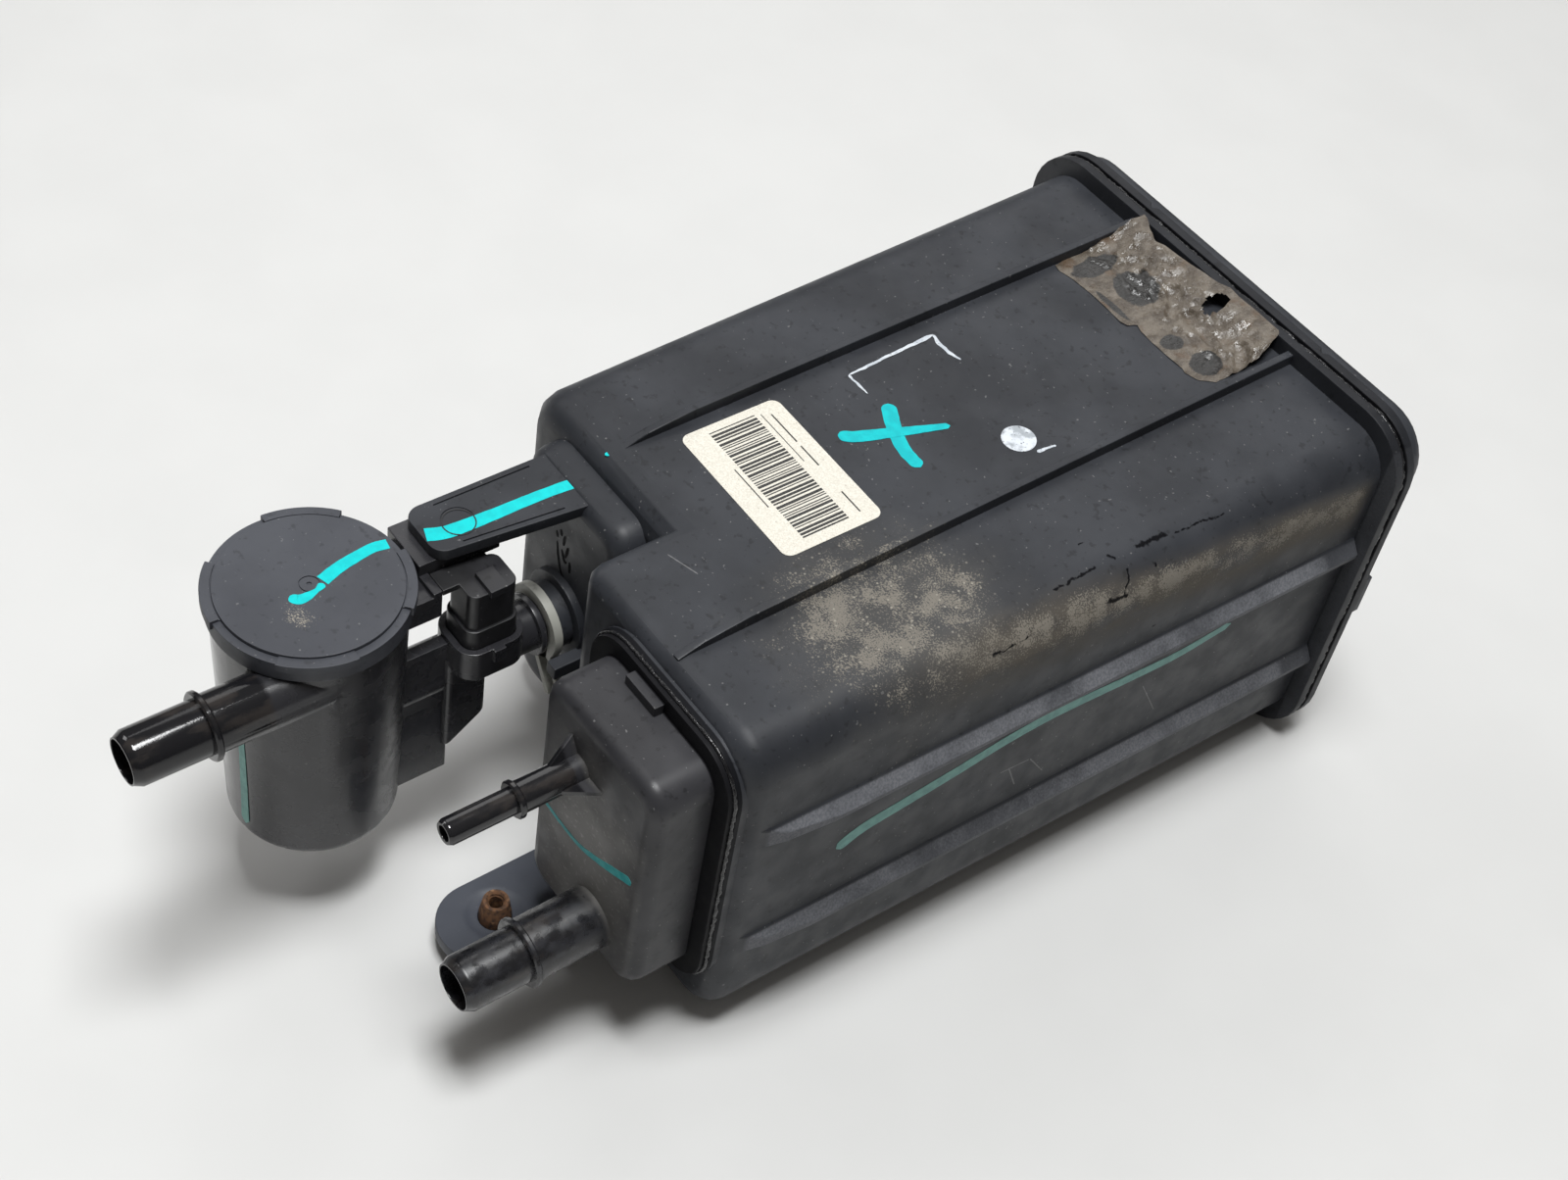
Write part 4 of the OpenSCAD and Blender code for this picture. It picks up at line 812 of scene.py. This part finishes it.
# %% Strokes on lid, arm, cover, side, boss and housing
OTHER_STROKES = [
    ("lid_stroke_low", on_lid,
     [(-42.6, -133.0), (-40.5, -131.8), (-40.2, -128.9), (-41.0, -125.3), (-42.2, -123.0)],
     [3.2, 3.6, 2.8, 1.5, 2.6], up, lid_paint, {}),
    ("lid_stroke", on_lid, [(-43.3, -122.6), (-45.2, -116.7), (-46.4, -110.8), (-47.1, -105.0), (-46.4, -100.4)],
     [4.2, 4.0, 3.8, 3.6, 3.6], up, lid_paint, {"blunt": (False, False)}),
    ("arm_stroke", on_arm, [(-43.4, -90.2), (-41.4, -83.9), (-40.9, -70.8), (-40.7, -51.1), (-39.6, -36.8)],
     [5.0, 4.6, 4.0, 3.8, 3.8], up, lid_paint, {"blunt": (False, True)}),
    ("cover_stroke", on_face, [(17, 67.0), (25.7, 66.3), (35.5, 66.6), (43.8, 69.6), (51.6, 73.6), (60.0, 78.0)],
     [1.3, 1.5, 1.7, 2.3, 3.0, 3.1], forward, deep_paint, {}),
    ("side_stroke", on_side,
     [(-25.5, 68.9), (-16.8, 72.8), (-2.7, 75.0), (16.7, 77.7), (37.8, 81.1), (58.2, 82.0), (87.1, 80.6),
      (104.2, 80.4), (125.4, 82.8)],
     [5.4, 5.0, 4.8, 4.5, 4.3, 4.1, 3.9, 3.7, 3.0], lambda p: SIDE_OUT, faded_paint, {}),
    ("boss_dab", lambda *p: Vector(p) * MM, [(-40.6, -31.9, 129.2), (-39.9, -32.0, 129.15), (-39.2, -32.1, 129.1)],
     [1.6, 2.0, 1.4], up, lid_paint, {"thick_mm": 0.2}),
    ("housing_stroke", on_housing, [(-75.4, 78), (-76.0, 66), (-76.7, 55), (-78.4, 36)],
     [2.2, 2.6, 2.9, 3.2], from_valve, faded_paint, {}),
]
for name, face, points, widths, normal, finish, settings in OTHER_STROKES:
    stroke(name, [face(*p) for p in points], widths, normal, finish, **settings)

# %% [markdown]
# ## Ring on the arm and ink on the boss
#
# An ejector pin of the mould left a ring on the arm: a circle whose edge is extruded outwards and then upwards, a
# hair above the paint. Below the arm, someone tried a pen on the boss, in short strokes that hardly shine.

# %% Ring and ink
RING_RADIUS, RING_GROWTH, RING_HEIGHT, RING_SUNK = 4.7 * MM, 1.085, 0.2 * MM, 0.03 * MM
RING_PLACE = (-43.1, -79.6)


def thicken(bm, height):
    """Extrude all faces of a flat bmesh upwards."""
    raised = bmesh.ops.extrude_face_region(bm, geom=bm.faces[:])["geom"]
    bmesh.ops.translate(bm, vec=(0, 0, height), verts=verts_of(raised))
    bmesh.ops.recalc_face_normals(bm, faces=bm.faces)


ring = bmesh.new()
bmesh.ops.create_circle(ring, segments=48, radius=RING_RADIUS)
outer = bmesh.ops.extrude_edge_only(ring, edges=ring.edges[:])["geom"]
bmesh.ops.scale(ring, vec=(RING_GROWTH, RING_GROWTH, 1), verts=verts_of(outer))
thicken(ring, RING_HEIGHT)
bmesh.ops.translate(ring, vec=on_arm(*RING_PLACE) - Vector((0, 0, RING_SUNK)), verts=ring.verts)
show_piece("arm_ring", ring, finishes["connector_plastic"])

pen_ink = simple("pen_ink", (0.002, 0.002, 0.003), (0.008, 0.008, 0.009), 0.6, 1.5)
pen_ink.put("Specular IOR Level", 0.04)
INK_LINES = [
    [(-40.9, 99.5), (-39.8, 94.0), (-37.9, 89.0), (-36.3, 87.6)], [(-41.6, 103.5), (-40.9, 101.0)],
    [(-39.6, 105.6), (-38.9, 103.2)], [(-37.2, 104.9), (-37.8, 100.2)], [(-35.2, 101.6), (-36.3, 96.2)],
    [(-33.9, 96.6), (-33.6, 92.0)], [(-38.4, 98.2), (-36.6, 94.6), (-35.4, 95.2)]]
for count, line in enumerate(INK_LINES):
    stroke("ink_line_%d" % (count + 1), [on_boss(*p) for p in line], [0.8, 1.3, 0.8], forward, pen_ink)

# %% [markdown]
# ## Paper label
#
# The paper label has round corners. A picture on a plane would look flat from the side, so it is a thin plate: a
# grid whose corner vertices are bevelled, extruded to the thickness of paper.

# %% Label
LABEL_MID, LABEL_TURN = (-6.6, 5.6), math.radians(-1.0)
LABEL_SIZE, LABEL_CORNER, LABEL_THICK = (54.2, 34.6), 3.0, 0.14
label_paper = flecked("label_paper", 0.6, (0.62, 0.59, 0.51), (0.74, 0.71, 0.63), (0.5, 0.35, 0.65),
                      (0.34, 0.30, 0.25), (1.0, 3, 0.66, 0.72, 0.6), (0.6, 0.03))
tilt = Matrix.Rotation(math.atan(SLOPE), 4, "X")


def lay_on_top(bm, x, y, turn=0.0):
    """Move a flat bmesh drawn in metres round the origin on to the top."""
    bm.transform(Matrix.Translation(on_top(x, y)) @ tilt @ Matrix.Rotation(turn, 4, "Z"))


def plate(width, height, corner, thick, middle, sit=0.0):
    bm = bmesh.new()
    bmesh.ops.create_grid(bm, x_segments=1, y_segments=1, size=0.5 * MM)
    bmesh.ops.scale(bm, vec=(width, height, 1), verts=bm.verts)
    if corner:
        bmesh.ops.bevel(bm, geom=bm.verts[:], offset=corner * MM, offset_type="OFFSET", segments=8, profile=0.5,
                        affect="VERTICES", material=-1)
    thicken(bm, thick * MM)
    bmesh.ops.translate(bm, vec=(middle[0] * MM, middle[1] * MM, sit * MM), verts=bm.verts)
    return bm


label = plate(*LABEL_SIZE, LABEL_CORNER, LABEL_THICK, (0, 0))
lay_on_top(label, *LABEL_MID, LABEL_TURN)
show_piece("label", label, label_paper)

# %% [markdown]
# ## Bars on the label
#
# Dark bars in a few widths fill the label, with some lines round them, and stand for nothing. They are thin
# plates of their own, joined into one piece, because a baked picture would blur them.

# %% Bars and lines
BAR_WIDTHS = [0.4, 0.95, 0.9, 0.6, 1.0, 0.4, 0.4, 0.45, 0.4, 0.95, 0.6, 0.9]
BARS_FROM, BARS_TO, BAR_HEIGHT, BAR_MID = -24.2, 23.0, 16.2, -0.6
NARROW_GAP, WIDE_GAP, INK_THICK = 0.42, 0.75, 0.02
LABEL_LINES = [
    ((-15.5, 12.2), (13, 0.5)), ((-2.5, 12.2), (9, 0.5)), ((18.2, 11.8), (9.0, 0.5)),
    ((-12.5, 9.4), (22, 0.3)), ((0, -10.4), (17, 0.4))]
label_ink = Finish("label_ink", 0.55)
ink_tone = label_ink.clouds(label_ink.noise(0.6, 3), 0.4, 0.7, (0.015, 0.015, 0.015), (0.05, 0.048, 0.045))
label_ink.put("Base Color", ink_tone)


def join_into(target, piece):
    """Copy one bmesh into another."""
    carrier = bpy.data.meshes.new("carrier")
    piece.to_mesh(carrier)
    piece.free()
    target.from_mesh(carrier)
    bpy.data.meshes.remove(carrier)


bars = bmesh.new()
at, count = BARS_FROM, 0
while at < BARS_TO:
    wide = BAR_WIDTHS[count % len(BAR_WIDTHS)]
    join_into(bars, plate(wide, BAR_HEIGHT, 0, INK_THICK, (at + wide / 2, BAR_MID), LABEL_THICK))
    at += wide + (NARROW_GAP if count % 3 else WIDE_GAP)
    count += 1
for middle, size in LABEL_LINES:
    join_into(bars, plate(*size, 0, INK_THICK, middle, LABEL_THICK))
lay_on_top(bars, *LABEL_MID, LABEL_TURN)
show_piece("label_bars", bars, label_ink)
print("bars on the label:", count)

# %% [markdown]
# ## Silvery dot
#
# Beside the cross sits a round sticker with a rubbed, silvery face, extruded like the label. A metal shader would
# mirror the dim room, so the foil is a pale colour with clouds and dark flecks.

# %% Dot
DOT_PLACE, DOT_RADIUS, DOT_THICK = (16.8, 76.8), 5.4 * MM, 0.12 * MM
dot_foil = flecked("dot_foil", 0.4, (0.34, 0.37, 0.40), (0.66, 0.70, 0.75), (3.0, 0.35, 0.6),
                   (0.10, 0.11, 0.12), (0.9, 6, 0.62, 0.7, 0.8), (1.0, 0.08))
dot = bmesh.new()
bmesh.ops.create_circle(dot, cap_ends=True, segments=40, radius=DOT_RADIUS)
thicken(dot, DOT_THICK)
lay_on_top(dot, *DOT_PLACE)
show_piece("silver_dot", dot, dot_foil)

# %% [markdown]
# ## Old tape: its finish
#
# Part of a strip of brown tape stayed when it was torn off. Its face is creased and grainy, with rusty clouds,
# and with dark patches where the backing is gone. The creases also drive a bump, with the grain on it.

# %% Tape finish
TAPE_DARK, TAPE_LIGHT, TAPE_GRAIN = (0.066, 0.052, 0.039), (0.15, 0.127, 0.101), (0.24, 0.213, 0.177)
TAPE_RUST, TAPE_BARE = (0.10, 0.062, 0.036), (0.022, 0.022, 0.022)
BARE_PATCHES = [
    ((-30.8, 149.5, 134), (4.6, 9, 8), 0.12, 5), ((-16, 154, 134), (8.4, 7.4, 8), 0.1, 5),
    ((-14, 142, 134), (9, 1.3, 8), 0.2, 4), ((8.6, 147.5, 134), (3.6, 4.4, 8), 0.15, 4),
    ((21.6, 150.2, 134), (5.2, 6, 8), 0.1, 5)]
tape_brown = Finish("tape_brown", 0.5)
creases = tape_brown.noise(3.4, 6, stretch=(1, 0.6, 1))
grain = tape_brown.noise(0.6, 4, shift=3)
pale = tape_brown.step(grain, 0.5, 0.75)
rust = tape_brown.step(tape_brown.noise(7, 5, shift=2), 0.54, 0.7)
bare = tape_brown.largest(*[tape_brown.blob(*patch) for patch in BARE_PATCHES])
tape_tone = tape_brown.clouds(creases, 0.3, 0.68, TAPE_DARK, TAPE_LIGHT)
for layer in ((pale, TAPE_GRAIN, 0.35), (rust, TAPE_RUST, 0.7), (bare, TAPE_BARE, 0.95)):
    tape_tone = tape_brown.cover(tape_tone, *layer)
tape_brown.put("Normal", tape_brown.bump(grain, 0.1, onto=tape_brown.bump(creases, 0.9)))
finished(tape_brown, tape_tone, tape_brown.step(tape_brown.noise(2.5, 5), 0.32, 0.68, 0.12, 0.45))

# %% [markdown]
# ## Old tape: its shape
#
# The tape sticks to the top, rises over the joint flange and is crumpled, with a hole in it. A cloth simulation
# would give smooth folds, but this tape is stiff. So a grid is stretched between a front and a rear edge, raised
# along the slope and crumpled by a noise.

# %% Tape
TAPE_FRONT = [
    (-37.9, 138.6), (-35.2, 138.0), (-29.7, 139.2), (-21.8, 139.8), (-11.6, 139.6), (-6.7, 139.1),
    (-4.4, 140.0), (-2.9, 142.9), (0.0, 142.0), (5.3, 141.7), (13.5, 141.7), (19.6, 142.0), (21, 141.4),
    (25.3, 142.7), (29.0, 147.3)]
TAPE_REAR = [
    (-38.0, 176.0), (-35.5, 175.4), (-31.4, 172.6), (-26.5, 170.4), (-22, 171.4), (-16.7, 171.8),
    (-11.2, 172.6), (-6.5, 173.6), (-1, 174.2), (3.3, 176.2), (7.8, 175.6), (15.5, 176.0), (20, 175.8),
    (26.5, 175.8), (29.6, 166.0)]
TAPE_STEPS, TAPE_ROWS, TAPE_THICK = 64, 48, 0.12 * MM
RAMP_FROM, RAMP_LENGTH, FLANGE_STEP = 156, 18.0, 6.15
HOLE_MID, HOLE_RADII = (5.4, 168), (3.2, 4.6)
TAPE_CAP_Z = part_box("rear_cover")[1].z + 0.1 * MM


def along(points, share):
    """A point on a broken line, where share counts its corners."""
    first = min(int(share), len(points) - 2)
    rest = share - first
    return [a + (b - a) * rest for a, b in zip(points[first], points[first + 1])]


def tape_height(x, y):
    """Height of the tape over the top: flat, then up to the flange, and crumpled."""
    ramp = min(max((y - RAMP_FROM) / RAMP_LENGTH, 0), 1)
    rise = FLANGE_STEP * ramp * ramp * (3 - 2 * ramp)
    folds = 1 - abs(noise.noise(Vector((x * 0.13 + 3, y * 0.17, 2.0)))) * 2.4
    ripple = abs(noise.noise(Vector((x, y, 9)) * 0.4))
    loose = 0.12 + 1.0 * min(max((y - 148) / 10, 0), 1) * (1 - 0.6 * ramp)
    return rise + 0.16 + loose * (1.5 * max(folds, 0) ** 2 + 0.8 * ripple)


def in_hole(face):
    middle = face.calc_center_median() / MM
    return sum(((middle[i] - HOLE_MID[i]) / HOLE_RADII[i]) ** 2 for i in (0, 1)) < 1


tape = bmesh.new()
bmesh.ops.create_grid(tape, x_segments=TAPE_STEPS, y_segments=TAPE_ROWS, size=0.5)
for vert in tape.verts:
    column, rank = vert.co.x + 0.5, vert.co.y + 0.5
    share = column * (len(TAPE_FRONT) - 1)
    near, far = along(TAPE_FRONT, share), along(TAPE_REAR, share)
    x, y = (a + (b - a) * rank for a, b in zip(near, far))
    x += 0.5 * noise.noise(Vector((x * 0.3, y * 0.3, 4)))
    vert.co = on_top(x, y)
    vert.co.z = min(vert.co.z + tape_height(x, y) * MM, TAPE_CAP_Z)
bmesh.ops.delete(tape, geom=[face for face in tape.faces if in_hole(face)], context="FACES")
bmesh.ops.recalc_face_normals(tape, faces=tape.faces)
bmesh.ops.solidify(tape, geom=tape.faces[:], thickness=TAPE_THICK)
show_piece("tape_rest", tape, tape_brown, turn=60)

# %% [markdown]
# ## Thread in the insert
#
# A screw comes up through the tab into the insert, whose thread shows as fine rings in the bore. A profile of
# three points is spun along a screw line, one turn after another.

# %% Thread
PITCH, TURNS, STEPS_PER_TURN = 1.0 * MM, 9, 24
THREAD_FROM_TOP = 0.9 * MM
THREAD_PROFILE = ((2.55, -0.42), (2.2, 0.0), (2.55, 0.42))
insert_low, insert_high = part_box("tab_insert")
insert_x, insert_y = ((insert_low[i] + insert_high[i]) / 2 for i in (0, 1))
thread_z = insert_high.z - THREAD_FROM_TOP - PITCH * TURNS
thread = bmesh.new()
profile = [thread.verts.new((insert_x + r * MM, insert_y, thread_z + dz * MM)) for r, dz in THREAD_PROFILE]
edges = [thread.edges.new(pair) for pair in zip(profile, profile[1:])]
bmesh.ops.spin(thread, geom=profile + edges, cent=(insert_x, insert_y, 0), axis=(0, 0, 1),
               angle=2 * math.pi * TURNS, steps=STEPS_PER_TURN * TURNS, dvec=(0, 0, PITCH / STEPS_PER_TURN),
               use_merge=False)
bmesh.ops.recalc_face_normals(thread, faces=thread.faces)
if thread.faces[0].normal.dot(thread.faces[0].calc_center_median() - Vector((insert_x, insert_y, 0))) > 0:
    bmesh.ops.reverse_faces(thread, faces=thread.faces)
show_piece("insert_thread", thread, finishes["rusty_steel"], turn=20)

# %% [markdown]
# ## The plunger's spring
#
# Inside the valve, a spring presses the plunger down and is squeezed when the coil lifts it. A merged copy of the
# spring takes the node's place, with a mesh of its own.

# %% Return spring
spring = merged(frame["nodes"]["return_spring"].data)
spring_wire = show_piece("return_spring_wire", spring, finishes["spring_steel"])
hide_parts("return_spring")
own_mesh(spring_wire)

# %% [markdown]
# ## Floor
#
# The canister stands on a pale table: a plain plane with a faint tone, which isn't part of the object.

# %% Floor
FLOOR_HALF = 3.0
table = Finish("pale_table", 0.5)
table.put("Base Color", table.clouds(table.noise(60, 4), 0.3, 0.7, (0.655, 0.655, 0.645), (0.675, 0.675, 0.665)))
floor_bm = bmesh.new()
bmesh.ops.create_grid(floor_bm, x_segments=2, y_segments=2, size=FLOOR_HALF)
floor_mesh = bpy.data.meshes.new("floor")
floor_bm.to_mesh(floor_mesh)
floor_bm.free()
floor_mesh.materials.append(table.material)
floor = bpy.data.objects.new("floor", floor_mesh)
link(floor)
print("floor", 2 * FLOOR_HALF, "m wide")

# %% [markdown]
# ## Light
#
# A lamp overhead throws the short shadows, a window on the left and a pale wall behind give the sheen, and a dim
# sky, brighter above than at the sides, keeps the shadows open.

# %% Sky and lamps
SKY_COLOUR = (1.0, 0.96, 0.915, 1)
SKY_SHADE = {"From Min": 0.0, "From Max": 0.95, "To Min": 0.07, "To Max": 0.20}
LAMPS = [("ceiling", (0.16, -0.08, 2.0), (0, 0, 0), (0.6, 0.6), 40, (0.985, 0.995, 1.0)),
         ("window", (-1.7, -0.6, 1.5), (0, -0.1, 0.05), (0.8, 0.8), 8, (1, 1, 1)),
         ("wall", (-1.3, 1.2, 1.5), (0, 0, 0.1), (2.0, 1.2), 10, (1, 1, 1))]
world = bpy.data.worlds.new("soft_room")
world.use_nodes = True
sky = world.node_tree
heading = sky.nodes.new("ShaderNodeTexCoord")
parts = sky.nodes.new("ShaderNodeSeparateXYZ")
shade = sky.nodes.new("ShaderNodeMapRange")
for socket, value in SKY_SHADE.items():
    shade.inputs[socket].default_value = value
sky.links.new(heading.outputs["Generated"], parts.inputs[0])
sky.links.new(parts.outputs["Z"], shade.inputs["Value"])
sky.links.new(shade.outputs["Result"], sky.nodes["Background"].inputs["Strength"])
sky.nodes["Background"].inputs["Color"].default_value = SKY_COLOUR
bpy.context.scene.world = world
bpy.context.scene.view_settings.view_transform = "Standard"

for name, place, target, size, watts, tint in LAMPS:
    light = bpy.data.lights.new(name, "AREA")
    light.shape = "RECTANGLE"
    light.size, light.size_y = size
    light.energy = watts
    light.color = tint
    lamp = bpy.data.objects.new(name, light)
    lamp.location = place
    lamp.rotation_euler = (Vector(target) - Vector(place)).to_track_quat("-Z", "Y").to_euler()
    link(lamp)
    print("lamp", name, watts, "W")

# %% [markdown]
# ## Camera
#
# The camera has the photograph's height, turn, roll and focal length, which were fitted to the box's edges.

# %% Camera
TURN, HEIGHT, ROLL = (math.radians(v) for v in (45.1, 47.1, 11.2))
CAMERA_PLACE = Vector((348.6, -338.1, 616.1)) * MM
SENSOR_MM, FOCAL_PX, PICTURE_PX = 36, 2450, 1600
back = Vector((math.sin(TURN) * math.cos(HEIGHT), -math.cos(TURN) * math.cos(HEIGHT), math.sin(HEIGHT)))
level = Vector((math.cos(TURN), math.sin(TURN), 0))
rise = back.cross(level)
right = math.cos(ROLL) * level + math.sin(ROLL) * rise
above = math.cos(ROLL) * rise - math.sin(ROLL) * level
camera_data = bpy.data.cameras.new("camera")
camera_data.sensor_fit = "HORIZONTAL"
camera_data.sensor_width = SENSOR_MM
camera_data.lens = FOCAL_PX / PICTURE_PX * SENSOR_MM
camera = bpy.data.objects.new("camera", camera_data)
camera.matrix_world = Matrix.Translation(CAMERA_PLACE) @ Matrix((right, above, back)).transposed().to_4x4()
link(camera)
bpy.context.scene.camera = camera
print("camera lens", round(camera_data.lens, 2), "mm")
